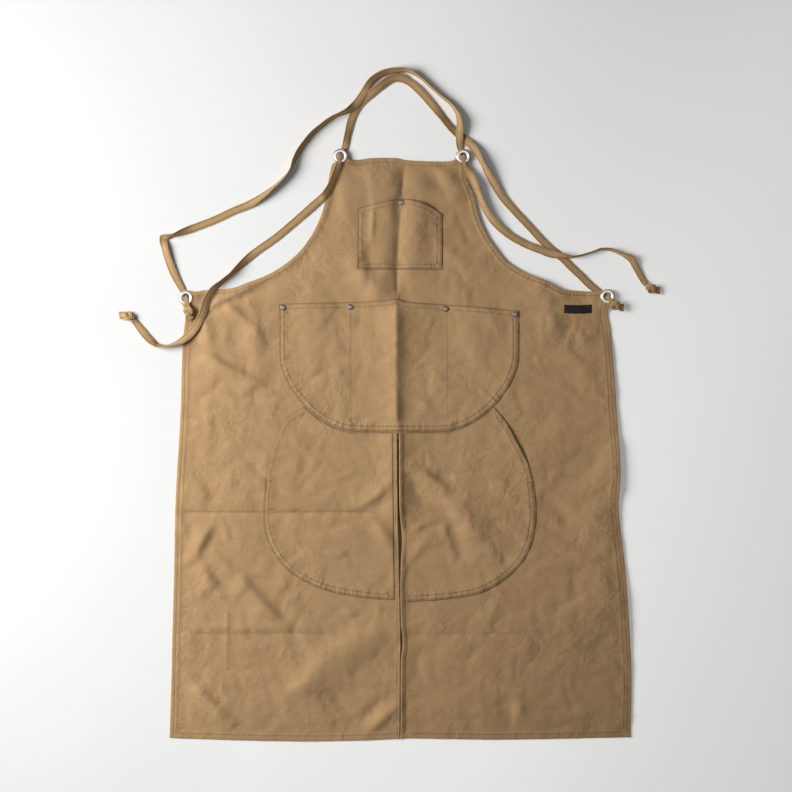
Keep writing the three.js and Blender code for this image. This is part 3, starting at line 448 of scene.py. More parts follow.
STRAP_RIGHT = [
    TapeRow(346.4, 233, z=9.4, width=8),
    TapeRow(343.1, 237.1, z=8.9, width=6.8),
    TapeRow(339, 243, z=5, width=6.2),
    TapeRow(332.8, 247, z=1, width=6.8),
    TapeRow(323, 253, z=0.9, width=11),
    TapeRow(310, 263, "floor"),
    TapeRow(297, 276, "floor"),
    TapeRow(281, 291, "floor"),
    TapeRow(265, 307, "floor"),
    TapeRow(246, 322, "floor"),
    TapeRow(229, 339, "floor"),
    TapeRow(208, 362, "floor"),
    TapeRow(188, 383, "floor"),
    TapeRow(167, 407, "floor", roll=6),
    TapeRow(149, 435, "floor", roll=30),
    TapeRow(134, 462, "floor", roll=62),
    TapeRow(124, 481, "floor", roll=40),
    TapeRow(109, 498, "floor", roll=10),
    TapeRow(95, 509, "floor", roll=-4),
    TapeRow(82, 521, "floor", roll=-22),
    TapeRow(69, 537, "floor", roll=-24),
    TapeRow(51, 559, "floor", roll=4),
    TapeRow(30, 582, "floor", roll=8),
    TapeRow(15, 595, "floor"),
    TapeRow(2, 601, "floor", roll=14, width=14.5),
    TapeRow(-13, 600, "floor", roll=28, width=15),
    TapeRow(-29, 590, "floor", roll=30, width=15),
    TapeRow(-47, 576, "floor", roll=14, width=14),
    TapeRow(-64, 561, "floor"),
    TapeRow(-76, 543, "floor"),
    TapeRow(-82, 526, "floor", roll=10),
    TapeRow(-87, 505, "floor", roll=24, width=12),
    TapeRow(-91, 487, z=0.9, width=11),
    TapeRow(-94.4, 479.4, z=1, width=6.8),
    TapeRow(-98, 473, z=5, width=6.2),
    TapeRow(-99.4, 465.8, z=8.9, width=6.8),
    TapeRow(-101.5, 456.5, z=8.4, width=11, roll=22),
    TapeRow(-106, 443, "body", roll=30),
    TapeRow(-114, 424, "body", roll=33),
    TapeRow(-124, 409, "body", roll=32),
    TapeRow(-133, 401, "body", roll=2),
    TapeRow(-147, 389, "floor", roll=-6),
    TapeRow(-175, 364, "floor"),
    TapeRow(-205, 339, "floor"),
    TapeRow(-240, 314, "floor"),
    TapeRow(-262, 294, "floor", roll=44),
    TapeRow(-277, 280, "floor", roll=72),
    TapeRow(-292, 267, "body", roll=64),
    TapeRow(-307, 253, "body", roll=34),
    TapeRow(-317, 236, "body", roll=24),
    TapeRow(-322, 218, "body", roll=20),
    TapeRow(-331, 199, "body", roll=8),
    TapeRow(-345, 181, "body", roll=-8),
    TapeRow(-359, 170, "body", roll=-30),
    TapeRow(-372, 165, "floor", roll=-68),
    TapeRow(-385, 162, "floor", roll=-76),
    TapeRow(-399, 163, "floor", roll=-60, kink=True),
    TapeRow(-411, 173, "floor", roll=-22),
    TapeRow(-424, 188, "floor"),
    TapeRow(-434, 201, "floor", width=10),
    TapeRow(-437.6, 205, z=3.6, width=9),
]
Knot = namedtuple("Knot", "name x y heading on z", defaults=(None,))
KNOTS = [
    Knot("strap_left_stopper", -347, 219.6, -78, "body"),
    Knot("strap_right_stopper", 351.5, 228.5, -16, "held", 8),
    Knot("strap_left_end_knot", 411, 256, -12, "floor"),
    Knot("strap_right_end_knot", -446, 211, 176, "floor"),
]
KNOT_HEIGHT = 9.0
# The way of a tape through an overhand knot, from the strap's end to the tail
KnotRow = namedtuple("KnotRow", "x y z width thick")
KNOT_WAY = [
    KnotRow(-10.0, 0.4, 0.0, 8.5, 2.0),
    KnotRow(-5.0, 1.6, 1.6, 7.0, 2.6),
    KnotRow(0.6, 4.6, 2.6, 6.4, 3.0),
    KnotRow(4.8, 2.4, 1.0, 6.2, 3.0),
    KnotRow(3.4, -3.6, -1.6, 6.2, 3.0),
    KnotRow(-1.6, -4.8, -1.2, 6.4, 3.0),
    KnotRow(-4.2, -0.8, 1.4, 6.4, 3.0),
    KnotRow(-1.4, 3.6, -1.6, 6.2, 3.0),
    KnotRow(2.4, 0.4, 2.2, 6.6, 3.0),
    KnotRow(6.6, -1.2, 1.2, 8.0, 2.6),
    KnotRow(10.4, -0.8, -0.6, 11.5, 2.0),
    KnotRow(14.4, 0.0, -1.2, 13.0, 1.7),
]
LABEL = {"left": 268, "right": 313, "top": 230, "bottom": 216, "thick": 0.9, "sag": 2.0}
LABEL_CELLS = (40, 14)
LABEL_GAP = 0.15
LABEL_EDGE = 0.55
LABEL_ROUND = 1.2

# Studio
CAMERA_X = -7.2
CAMERA_Y = 80.2
CAMERA_HEIGHT = 2600.0
VIEW_WIDTH = 1298.9
SENSOR = 36.0
FLOOR_HALF = 4000.0


class ApronSizes(bpy.types.PropertyGroup):
    """Sizes of the apron's cloth and thread."""

    cloth: FloatProperty(
        name="Cloth", description="Thickness of the canvas", default=0.9 * MM, min=0.0005,
        unit="LENGTH", subtype="DISTANCE",
    )
    pocket_cloth: FloatProperty(
        name="Pocket cloth", description="Thickness of a pocket's canvas", default=0.65 * MM, min=0.0004,
        unit="LENGTH", subtype="DISTANCE",
    )
    grid: FloatProperty(
        name="Cell", description="Size of the mesh cells of the body", default=4.7 * MM, min=0.002,
        unit="LENGTH", subtype="DISTANCE",
    )
    pocket_grid: FloatProperty(
        name="Pocket cell", description="Size of the mesh cells of a pocket", default=4.1 * MM,
        min=0.002, unit="LENGTH", subtype="DISTANCE",
    )
    thread: FloatProperty(
        name="Thread", description="Thickness of the sewing thread", default=0.65 * MM, min=0.0002,
        unit="LENGTH", subtype="DISTANCE",
    )


class ApronColours(bpy.types.PropertyGroup):
    """Colours of the apron and the floor, in linear light."""

    canvas: FloatVectorProperty(
        name="Canvas", description="Colour of the canvas", subtype="COLOR", size=3,
        default=(0.441, 0.274, 0.1335), min=0, max=1,
    )
    tape: FloatVectorProperty(
        name="Tape", description="Colour of the tapes", subtype="COLOR", size=3,
        default=(0.42, 0.268, 0.128), min=0, max=1,
    )
    thread: FloatVectorProperty(
        name="Thread", description="Colour of the sewing thread", subtype="COLOR", size=3,
        default=(0.24, 0.15, 0.074), min=0, max=1,
    )
    nickel: FloatVectorProperty(
        name="Nickel", description="Colour of the eyelets", subtype="COLOR", size=3,
        default=(0.86, 0.84, 0.82), min=0, max=1,
    )
    steel: FloatVectorProperty(
        name="Steel", description="Colour of the rivets", subtype="COLOR", size=3,
        default=(0.18, 0.15, 0.125), min=0, max=1,
    )
    label: FloatVectorProperty(
        name="Label", description="Colour of the woven label", subtype="COLOR", size=3,
        default=(0.018, 0.017, 0.017), min=0, max=1,
    )
    floor: FloatVectorProperty(
        name="Floor", description="Colour of the floor", subtype="COLOR", size=3,
        default=(1.0, 1.0, 0.99), min=0, max=1,
    )


# Curves in the plane

FINE_STEPS = 24


def smooth_curve(points, spacing):
    """Points about spacing apart on a smooth curve through the given ones, and their places in the list."""
    points = np.asarray(points, float)
    knots = np.vstack([2 * points[0] - points[1], points, 2 * points[-1] - points[-2]])
    gaps = np.sqrt(np.linalg.norm(np.diff(knots, axis=0), axis=1))
    fine, places = [], []
    for i in range(len(points) - 1):
        p0, p1, p2, p3 = knots[i:i + 4]
        t0, t1, t2, t3 = np.concatenate([[0.0], np.cumsum(gaps[i:i + 3])])
        share = np.arange(FINE_STEPS) / FINE_STEPS
        t = (t1 + (t2 - t1) * share)[:, None]
        a1 = ((t1 - t) * p0 + (t - t0) * p1) / (t1 - t0)
        a2 = ((t2 - t) * p1 + (t - t1) * p2) / (t2 - t1)
        a3 = ((t3 - t) * p2 + (t - t2) * p3) / (t3 - t2)
        b1 = ((t2 - t) * a1 + (t - t0) * a2) / (t2 - t0)
        b2 = ((t3 - t) * a2 + (t - t1) * a3) / (t3 - t1)
        fine.append(((t2 - t) * b1 + (t - t1) * b2) / (t2 - t1))
        places.append(i + share)
    fine = np.vstack([*fine, points[-1:]])
    places = np.concatenate([*places, [len(points) - 1.0]])
    return resampled(fine, places, spacing)


def run_along(points):
    """Length of the polyline up to each of its points."""
    return np.concatenate([[0.0], np.cumsum(np.linalg.norm(np.diff(points, axis=0), axis=1))])


def unit(vectors):
    return vectors / np.linalg.norm(vectors, axis=1)[:, None]


def right_of(way):
    """Directions to the right of ways in the plane."""
    return np.stack([way[:, 1], -way[:, 0]], axis=1)


def resampled(points, places, spacing):
    """The polyline cut into equal steps of about the spacing."""
    run = run_along(points)
    count = max(2, int(round(run[-1] / spacing)) + 1)
    even = np.linspace(0.0, run[-1], count)
    columns = [np.interp(even, run, column) for column in points.T]
    return np.stack(columns, axis=1), np.interp(even, run, places)


def smoothstep(low, high, value):
    share = np.clip((value - low) / (high - low), 0.0, 1.0)
    return share * share * (3.0 - 2.0 * share)


def quadratic(start, pull, end, count=14):
    """Points of a quadratic curve."""
    share = np.linspace(0.0, 1.0, count)[:, None]
    start, pull, end = (np.array(p, float) for p in (start, pull, end))
    return (1 - share) ** 2 * start + 2 * share * (1 - share) * pull + share ** 2 * end


# Outlines of the cloth pieces, with the left hand on the cloth along the way

Outline = namedtuple("Outline", "points styles normals runs tree")


def make_outline(parts):
    """An outline from (style, points) parts, each with its last point left to the next part."""
    points = np.vstack([np.asarray(p)[:-1] for _, p in parts])
    styles = np.array([style for style, p in parts for _ in range(len(p) - 1)])
    step = np.roll(points, -1, axis=0) - points
    way = unit(step)
    bisector = way + np.roll(way, 1, axis=0)
    bisector /= np.maximum(np.linalg.norm(bisector, axis=1), TINY)[:, None]
    normals = np.stack([-bisector[:, 1], bisector[:, 0]], axis=1)
    runs = np.concatenate([[0.0], np.cumsum(np.linalg.norm(step, axis=1))])
    return Outline(points, styles, normals, runs, outline_tree(points))


def outline_tree(points):
    """A search tree over the outline's points."""
    tree = kdtree.KDTree(len(points))
    for i, (x, y) in enumerate(points):
        tree.insert((x, y, 0.0), i)
    tree.balance()
    return tree


def nearest_edge(outline, x, y):
    """Distance to the outline, the index of its nearest point, and the run along it, for arrays x, y."""
    count = len(outline.points)
    index = np.array([outline.tree.find((px, py, 0.0))[1] for px, py in zip(x, y)], int)
    here = np.stack([x, y], axis=1)
    distance = np.full(len(x), np.inf)
    run = np.zeros(len(x))
    for shift in (-1, 0):
        start = (index + shift) % count
        a = outline.points[start]
        b = outline.points[(start + 1) % count]
        along = np.einsum("ij,ij->i", here - a, b - a) / np.einsum("ij,ij->i", b - a, b - a)
        along = np.clip(along, 0.0, 1.0)
        gap = np.linalg.norm(here - a - along[:, None] * (b - a), axis=1)
        closer = gap < distance
        distance = np.where(closer, gap, distance)
        length = outline.runs[start + 1] - outline.runs[start]
        run = np.where(closer, outline.runs[start] + along * length, run)
    return distance, index, run


def circle(place, radius, sides):
    """Points of a circle about a place."""
    angles = np.linspace(0.0, 2 * math.pi, sides, endpoint=False)
    return np.stack([np.cos(angles), np.sin(angles)], axis=1) * radius + (place.x, place.y)


def away_from_eyelets(spots, distance):
    """Which of the spots are farther than a distance from every eyelet."""
    away = np.ones(len(spots), bool)
    for eyelet in EYELETS:
        away &= np.hypot(spots[:, 0] - eyelet.x, spots[:, 1] - eyelet.y) > distance
    return away


def inside(polygon, x, y):
    """Which of the points x, y are inside the polygon."""
    result = np.zeros(len(x), bool)
    x1, y1 = polygon.T
    x2, y2 = np.roll(polygon, -1, axis=0).T
    for ax, ay, bx, by in zip(x1, y1, x2, y2):
        if ay == by:
            continue
        crosses = (ay > y) != (by > y)
        result ^= crosses & (x < ax + (y - ay) * (bx - ax) / (by - ay))
    return result


def corner_about(place, start, end, steps=8):
    """Points of a round corner of the cloth about an eyelet, from one bearing to another in degrees."""
    angles = np.radians(np.linspace(start, end, steps))
    radius = EYELET_OUTER + CORNER_MARGIN
    return [(place.x + radius * math.cos(a), place.y + radius * math.sin(a)) for a in angles]


OUTLINE_STEP = 4.4


@lru_cache(maxsize=None)
def body_outline():
    bib_left, bib_right, waist_left, waist_right = EYELETS
    stretches = [
        ("side", [HEM_RIGHT[-1]] + [(r.right_x, r.right_y) for r in reversed(SIDE)]),
        ("armhole", corner_about(waist_right, -60, 130)),
        ("armhole", [(r.right_x, r.right_y) for r in reversed(ARMHOLE)]),
        ("top", corner_about(bib_right, -55, 190)),
        ("top", BIB_TOP),
        ("top", corner_about(bib_left, -10, 235)),
        ("armhole", [(r.left_x, r.left_y) for r in ARMHOLE]),
        ("armhole", corner_about(waist_left, 50, 240)),
        ("side", [(r.left_x, r.left_y) for r in SIDE] + [HEM_LEFT[0]]),
    ]
    rows = [point for _, points in stretches for point in points]
    row_styles = [style for style, points in stretches for _ in points]
    edge, places = smooth_curve(rows, OUTLINE_STEP)
    edge_styles = [row_styles[int(round(place))] for place in places]
    slit_left = [HEM_LEFT[-1]] + [(r.left, r.y) for r in reversed(SLIT)]
    slit_right = [(r.right, r.y) for r in SLIT] + [HEM_RIGHT[0]]
    parts = [
        ("hem", smooth_curve(HEM_LEFT, OUTLINE_STEP)[0]),
        ("slit left", smooth_curve(slit_left, OUTLINE_STEP)[0]),
        ("slit left", np.array([slit_left[-1], slit_right[0]])),
        ("slit right", smooth_curve(slit_right, OUTLINE_STEP)[0]),
        ("hem", smooth_curve(HEM_RIGHT, OUTLINE_STEP)[0]),
    ]
    start = 0
    for i in range(1, len(edge)):
        if i == len(edge) - 1 or edge_styles[i] != edge_styles[start]:
            parts.append((edge_styles[start], edge[start:i + 1]))
            start = i
    return make_outline(parts)


def bib_pocket_outline(step):
    p, peak = BIB_POCKET, BIB_PEAK
    top = (peak["x"], peak["y"])
    left_top, right_top = (p["left"], p["left_top"]), (p["right"], p["right_top"])
    mouth = np.vstack([
        quadratic(right_top, (peak["right_pull"], peak["pull_y"]), top)[:-1],
        quadratic(top, (peak["left_pull"], peak["pull_y"]), left_top),
    ])
    return make_outline([
        ("bib seam", line((p["left"], p["bottom"]), (p["right"], p["bottom"]), step)),
        ("bib seam", line((p["right"], p["bottom"]), right_top, step)),
        ("mouth", resampled(mouth, np.arange(len(mouth)), step)[0]),
        ("bib seam", line(left_top, (p["left"], p["bottom"]), step)),
    ])


def line(start, end, step):
    """Points about a step apart on a straight line."""
    start, end = np.array(start, float), np.array(end, float)
    count = max(2, int(round(np.linalg.norm(end - start) / step)) + 1)
    return start + (end - start) * np.linspace(0.0, 1.0, count)[:, None]


def waist_corner(sign, start, end, gap=0.0, steps=14):
    """Points of the waist pocket's round lower corner between two bearings below level, in degrees."""
    p = WAIST_POCKET
    angle = np.radians(np.linspace(start, end, steps))
    power = 2.0 / WAIST_ROUNDNESS
    centre = p["left"] + p["corner"] if sign < 0 else p["right"] - p["corner"]
    x = centre + sign * (p["corner"] + gap) * np.abs(np.cos(angle)) ** power
    y = p["side_bottom"] - (p["side_bottom"] - p["bottom"] + gap) * np.abs(np.sin(angle)) ** power
    return np.stack([x, y], axis=1)


def waist_pocket_outline(step):
    left, right = waist_corner(-1, 0, 90), waist_corner(1, 90, 0)
    sewn = np.vstack([WAIST_MOUTH[:1], left, right, WAIST_MOUTH[-1:]])
    return make_outline([
        ("seam", smooth_curve(sewn, step)[0]),
        ("mouth", smooth_curve(WAIST_MOUTH[::-1], step)[0]),
    ])


def leg_pocket_outline(step, sign):
    rows = [(r.left_x, r.left_y) if sign < 0 else (r.right_x, r.right_y) for r in LEG_POCKET]
    top = waist_corner(sign, 90, LEG_POCKET_MEETS, LEG_POCKET_GAP, steps=10)
    top = np.vstack([[(LEG_POCKET_INNER[sign], top[0][1])], top])
    outer = smooth_curve(np.vstack([top[-1:], rows]), step)[0]
    ends = int(np.argmax(outer[:, 1] < LEG_MOUTH_END))
    parts = [
        ("tucked", smooth_curve(top, step)[0]),
        ("mouth", outer[:ends + 1]),
        ("seam", outer[ends:]),
        ("tucked", line(outer[-1], top[0], step)),
    ]
    if sign > 0:
        parts = [(style, points[::-1]) for style, points in reversed(parts)]
    return make_outline(parts)


# Heights of the cloth, in millimetres

def fold_height(fold, x, y):
    """Height of one fold: a smooth ridge or valley about its line, lower towards its ends."""
    points = np.asarray(fold.points, float)
    lengths = np.linalg.norm(np.diff(points, axis=0), axis=1)
    starts = run_along(points)
    distance = np.full(len(x), np.inf)
    run = np.zeros(len(x))
    across = np.zeros(len(x))
    for a, b, length, start in zip(points[:-1], points[1:], lengths, starts):
        way = (b - a) / length
        along = np.clip((x - a[0]) * way[0] + (y - a[1]) * way[1], 0.0, length)
        gap = np.hypot(x - a[0] - along * way[0], y - a[1] - along * way[1])
        closer = gap < distance
        distance = np.where(closer, gap, distance)
        run = np.where(closer, start + along, run)
        across = np.where(closer, (x - a[0]) * way[1] - (y - a[1]) * way[0], across)
    taper = min(FOLD_TAPER, starts[-1] * FOLD_TAPER_MOST)
    ends = smoothstep(0.0, taper, np.minimum(run, starts[-1] - run))
    width = np.where(across < 0.0, fold.left, fold.right)
    shape = np.exp(-(distance / width) ** fold.sharpness)
    return fold.height * (FOLD_END + (1.0 - FOLD_END) * ends) * shape


def noise_at(x, y, length, seed):
    return np.array([noise.noise((px / length, py / length, seed)) for px, py in zip(x, y)])


def slit_middle(y):
    rows = sorted(SLIT, key=lambda row: row.y)
    return np.interp(y, [row.y for row in rows], [(row.left + row.right) / 2 for row in rows])


def pressed_to(height, lift, flat, fade, place, x, y):
    """The height, brought to the lift about a place."""
    distance = np.hypot(x - place.x, y - place.y)
    share = 1.0 - smoothstep(flat, flat + fade, distance)
    return height + (lift - height) * share


@lru_cache(maxsize=None)
def outer_outline():
    """The body's outline with its slit closed."""
    whole = body_outline()
    outer = ~np.char.startswith(whole.styles, "slit")
    points = whole.points[outer]
    return make_outline([("hem", np.vstack([points, points[:1]]))])


def crumpled(x, y):
    """Fine crumples: creases along the zero lines of warped noise."""
    warp = CRUMPLE_WARP
    shifts = [warp["height"] * noise_at(x, y, warp["length"], seed) for seed in warp["seeds"]]
    height = np.zeros(len(x))
    for length, rise, seed in CRUMPLES:
        folded = np.abs(noise_at(x + shifts[0], y + shifts[1], length, seed))
        height += rise * (folded - CRUMPLE_LEVEL)
    return height


def crease_shade(x, y):
    """How much painted shade darkens the cloth along the creases."""
    dark = np.zeros(len(x))
    for crease in CREASES:
        line_of = Fold(crease.points, crease.width, crease.width, crease.dark)
        dark = np.maximum(dark, fold_height(line_of, x, y))
    return dark


def resting_height(x, y):
    """Height of the cloth's underside where it lies."""
    x, y = np.asarray(x, float), np.asarray(y, float)
    distance = nearest_edge(outer_outline(), x, y)[0]
    lie = LIE_EDGE + (LIE - LIE_EDGE) * smoothstep(0.0, LIE_FADE, distance)
    folds = FOLD_RISE * sum(fold_height(fold, x, y) for fold in FOLDS)
    for length, height, seed in WRINKLES:
        folds = folds + height * noise_at(x, y, length, seed)
    folds = folds + crumpled(x, y)
    waves = BIB_WAVES
    wave = noise_at(x, np.zeros_like(y), waves["length"], waves["seed"])
    folds = folds + waves["height"] * wave * np.exp(-((waves["y"] - y) / waves["fade"]) ** 2)
    inward = smoothstep(0.0, EDGE_FOLDS_REACH, distance)
    height = lie + folds * (EDGE_FOLDS + (1.0 - EDGE_FOLDS) * inward)
    height = height + sum(fold_height(lift, x, y) for lift in EDGE_LIFTS)
    height = 0.5 * (height + np.sqrt(height * height + FLOOR_SOFTNESS))
    height = beside_slit(height, x, y)
    for rivet in RIVETS:
        height = pressed_to(height, np.maximum(height, RIVET_LIFT), RIVET_FLAT, RIVET_FADE, rivet, x, y)
    for eyelet in EYELETS:
        height = pressed_to(height, EYELET_LIFT, EYELET_FLAT, EYELET_FADE, eyelet, x, y)
    return height


def beside_slit(height, x, y):
    """Lets the right leg's edge down, and keeps both edges above the facing."""
    drop = SLIT_DROP
    beside = x - slit_middle(y)
    near = np.exp(-(beside / drop["reach"]) ** 2)
    share = near * smoothstep(drop["start"], drop["full"], y)
    depth = drop["depth"] + drop["belly"] * np.exp(-((y - drop["belly_y"]) / drop["belly_reach"]) ** 2)
    lowered = height - np.where(beside > 0.0, depth, 0.0) * share
    return np.maximum(lowered, drop["least"] * share)


def bulge_height(name, x, y):
    height = np.zeros_like(x)
    for b in BULGES[name]:
        distance = np.hypot((x - b.x) / b.radius_x, (y - b.y) / b.radius_y)
        height = np.maximum(height, b.height * (1.0 - smoothstep(BULGE_CREST, 1.0, distance)))
    return height


Ply = namedtuple("Ply", "bottom top groove worn run edge pucker")


def ply_at(outline, x, y, bottom, cloth):
    """Underside and top of a cloth with its hems and stitch grooves, over the underside's own heights."""
    distance, index, run = nearest_edge(outline, x, y)
    thick = np.full(len(x), cloth)
    groove = np.zeros(len(x))
    pucker = np.zeros(len(x))
    gathered = np.zeros(len(x))
    for name, style in EDGE_STYLES.items():
        own = outline.styles[index] == name
        if not own.any():
            continue
        d = distance[own]
        dent = sum((np.exp(-((d - s) / GROOVE_WIDTH) ** 2) for s in style.stitches), np.zeros(len(d)))
        strip = 1.0 - smoothstep(style.width - STRIP_SOFT, style.width + STRIP_SOFT, d)
        ripple = noise_at(run[own], d * PUCKER["across"], PUCKER["length"], PUCKER["seed"])
        reach = np.exp(-((d - style.width * PUCKER["middle"]) / (style.width * PUCKER["reach"])) ** 2)
        lean = 1.0 + style.lean * (1.0 - 2.0 * d / style.width)
        thick[own] += style.rise * strip * lean - style.groove * dent
        groove[own] = dent * style.groove / GROOVE_DEPTH
        pucker[own] = style.pucker * ripple * reach
        gathered[own] = style.pucker * reach
    offsets = [row[0] for row in EDGE_ROUND]
    low = np.interp(distance, offsets, [row[1] for row in EDGE_ROUND])
    high = np.interp(distance, offsets, [row[2] for row in EDGE_ROUND])
    base = bottom + pucker
    # The groove mark is painted shade: darker in the stitch grooves and along the creases
    groove = np.maximum(groove, crease_shade(x, y))
    # Mask near the edge: paler wear on the body, painted shade on a pocket
    worn = np.exp(-(distance / EDGE_TONE_REACH) ** 2)
    return Ply(base + low * thick, base + high * thick, groove, worn, run, distance, gathered)


def body_ply(x, y, cloth):
    x, y = np.asarray(x, float), np.asarray(y, float)
    return ply_at(body_outline(), x, y, resting_height(x, y), cloth)


def pocket_ply(name, outline, x, y):
    sizes = bpy.context.scene.apron_sizes
    under = resting_height(x, y) + sizes.cloth / MM + POCKET_GAP + bulge_height(name, x, y)
    return ply_at(outline, x, y, under, sizes.pocket_cloth / MM)


def crease_points(outline, margin):
    """Points along the sharp creases and beside them, inside the outline and away from its edge."""
    found = []
    for crease in CREASES:
        spots = smooth_curve(crease.points, CREASE_STEP)[0]
        across = right_of(unit(np.gradient(spots, axis=0)))
        found += [spots + across * offset for offset in CREASE_OFFSETS]
    spots = np.vstack(found)
    spots = spots[inside(outline.points, *spots.T)]
    return spots[nearest_edge(outline, *spots.T)[0] > margin]


def mesh_points(outline, step, margin):
    """Points inside the outline: along its hems, along the creases, and in staggered rows."""
    creases = crease_points(outline, margin)
    rows = grid_points(outline, step, margin)
    tree = outline_tree(creases) if len(creases) else None
    if tree:
        reach = step * CREASE_CLEAR
        rows = rows[np.array([tree.find((x, y, 0.0))[2] > reach for x, y in rows])]
    return np.vstack([strip_points(outline), creases, rows])


# Meshes

def new_object(name, points, faces, materials, smooth=True):
    """A mesh object at the origin, from points in millimetres."""
    mesh = bpy.data.meshes.new(name)
    mesh.from_pydata((np.asarray(points) * MM).tolist(), [], [list(face) for face in faces])
    mesh.validate()
    for material in materials:
        mesh.materials.append(material)
    mesh.polygons.foreach_set("use_smooth", [smooth] * len(mesh.polygons))
    mesh.update()
    obj = bpy.data.objects.new(name, mesh)
    bpy.context.scene.collection.objects.link(obj)
    return obj


def set_attribute(obj, name, values):
    attribute = obj.data.attributes.new(name, "FLOAT", "POINT")
    attribute.data.foreach_set("value", np.asarray(values, np.float32))


def strip_points(outline):
    """Points beside the outline that follow its hems and stitch lines."""
    found = []
    for name, style in EDGE_STYLES.items():
        own = outline.styles == name
        if not own.any():
            continue
        offsets = {row[0] for row in EDGE_ROUND[1:]} | {style.width + beside for beside in STRIP_ROWS}
        for stitch in style.stitches:
            offsets |= {stitch + beside for beside in STITCH_ROWS}
        kept = []
        for offset in sorted(offsets | {TUCKED_REACH}):
            if offset > ROW_LEAST and (not kept or offset - kept[-1] > ROW_APART):
                kept.append(offset)
        for offset in kept:
            spots = outline.points[own] + outline.normals[own] * offset
            distance = nearest_edge(outline, *spots.T)[0]
            clear = distance > offset - ROW_SLACK
            found.append(spots[clear & inside(outline.points, *spots.T)])
    return np.vstack(found)


def grid_points(outline, step, margin):
    """Staggered rows of points inside the outline, away from its edge."""
    low, high = outline.points.min(axis=0), outline.points.max(axis=0)
    rise = step * math.sqrt(3) / 2
    rows = np.arange(low[1], high[1], rise)
    spots = np.vstack([
        np.stack([np.arange(low[0] + (i % 2) * step / 2, high[0], step)] * 2, axis=1) * (1, 0) + (0, y)
        for i, y in enumerate(rows)
    ])
    spots = spots[inside(outline.points, *spots.T)]
    return spots[nearest_edge(outline, *spots.T)[0] > margin]


MERGE = 1e-5
# The kind of triangulation that keeps only what is inside the outer loop
KEEP_INSIDE = 1


def triangulated(outline, holes, extra):
    """Corner-linked triangles of the outline without its holes, through the extra points."""
    loops = [outline.points, *holes]
    edges, count = [], 0
    for loop in loops:
        ring = count + np.arange(len(loop))
        edges += list(zip(ring.tolist(), np.roll(ring, -1).tolist()))
        count += len(loop)
    spots = np.vstack([*loops, extra])
    corners, _, faces, *_ = geometry.delaunay_2d_cdt(
        [Vector(p) for p in spots.tolist()], edges, [], KEEP_INSIDE, MERGE, False)
    corners = np.array([tuple(c) for c in corners])
    faces = np.array([list(face) for face in faces])
    middle = corners[faces].mean(axis=1)
    kept = inside(outline.points, *middle.T)
    for hole in holes:
        kept &= ~inside(hole, *middle.T)
    faces = faces[kept]
    used = np.unique(faces)
    renumber = np.full(len(corners), -1)
    renumber[used] = np.arange(len(used))
    return corners[used], renumber[faces]


def shell_faces(triangles, count):
    """Faces of a closed cloth: the top, the underside with points shifted by count, and the rim."""
    a, b, c = triangles.T
    pairs = np.vstack([np.stack([a, b], 1), np.stack([b, c], 1), np.stack([c, a], 1)])
    keys = pairs[:, 0].astype(np.int64) * count + pairs[:, 1]
    back = pairs[:, 1].astype(np.int64) * count + pairs[:, 0]
    rim = pairs[~np.isin(keys, back)]
    faces = triangles.tolist() + (triangles[:, ::-1] + count).tolist()
    faces += [[q, p, p + count, q + count] for p, q in rim.tolist()]
    return faces


def cloth_object(name, outline, holes, extra, ply_of, material, edge_wear_and_shade):
    """A closed cloth of its own thickness over the outline."""
    spots, triangles = triangulated(outline, holes, extra)
    ply = ply_of(*spots.T)
    points = np.vstack([
        np.column_stack([spots, ply.top]),
        np.column_stack([spots, ply.bottom]),
    ])
    obj = new_object(name, points, shell_faces(triangles, len(spots)), [material])
    # worn is paler wear on the body's edges and painted shade on a pocket's edges
    marks = {
        "groove": ply.groove, "worn": ply.worn * edge_wear_and_shade, "run": ply.run * MM, "edge": ply.edge * MM,
        "pucker": ply.pucker,
    }
    for mark, values in marks.items():
        set_attribute(obj, mark, np.tile(values, 2))
    return obj


# Paler edges of the body from wear, and painted shade darkening a pocket's edges
BODY_EDGE_WEAR = 0.05
POCKET_EDGE_SHADE = -0.5

# A stitch is a short spindle of thread: rings along it, four points round each
STITCH_RINGS = [(-1.0, 0.4), (0.0, 1.0), (1.0, 0.4)]
STITCH_AROUND = [(1.0, 0.0), (0.0, 1.0), (-1.0, 0.0), (0.0, -1.0)]


def stitch_points(centres, ways, ups, length, thread):
    """Points and faces of stitches in millimetres, each lying on its centre along its way."""
    sides = np.cross(ways, ups)
    points = []
    for along, scale in STITCH_RINGS:
        for side, up in STITCH_AROUND:
            spot = centres + ways * (along * length / 2) + sides * (side * scale * thread / 2)
            points.append(spot + ups * (up * scale * thread / 2))
    points = np.stack(points, axis=1)
    around = len(STITCH_AROUND)
    faces = []
    for ring in range(len(STITCH_RINGS) - 1):
        for k in range(around):
            a, b = ring * around + k, ring * around + (k + 1) % around
            faces.append([a, b, b + around, a + around])
    last = (len(STITCH_RINGS) - 1) * around
    faces.append([3, 2, 1, 0])
    faces.append([last, last + 1, last + 2, last + 3])
    each = points.shape[1]
    every = (np.array(faces)[None] + (np.arange(len(centres)) * each)[:, None, None]).reshape(-1, 4)
    return points.reshape(-1, 3), every


def seam_lines(outline):
    """The runs of stitches beside the outline, as polylines in the plane."""
    lines = []
    for name, style in EDGE_STYLES.items():
        own = np.flatnonzero(outline.styles == name)
        if not len(own) or not style.stitches:
            continue
        breaks = np.flatnonzero(np.diff(own) > 1) + 1
        for stretch in np.split(own, breaks):
            stretch = np.append(stretch, (stretch[-1] + 1) % len(outline.points))
            for offset in style.stitches:
                spots = outline.points[stretch] + outline.normals[stretch] * offset
                spots = spots[nearest_edge(outline, *spots.T)[0] > offset - SEAM_SLACK]
                if len(spots) > 2:
                    lines.append(spots)
    return lines


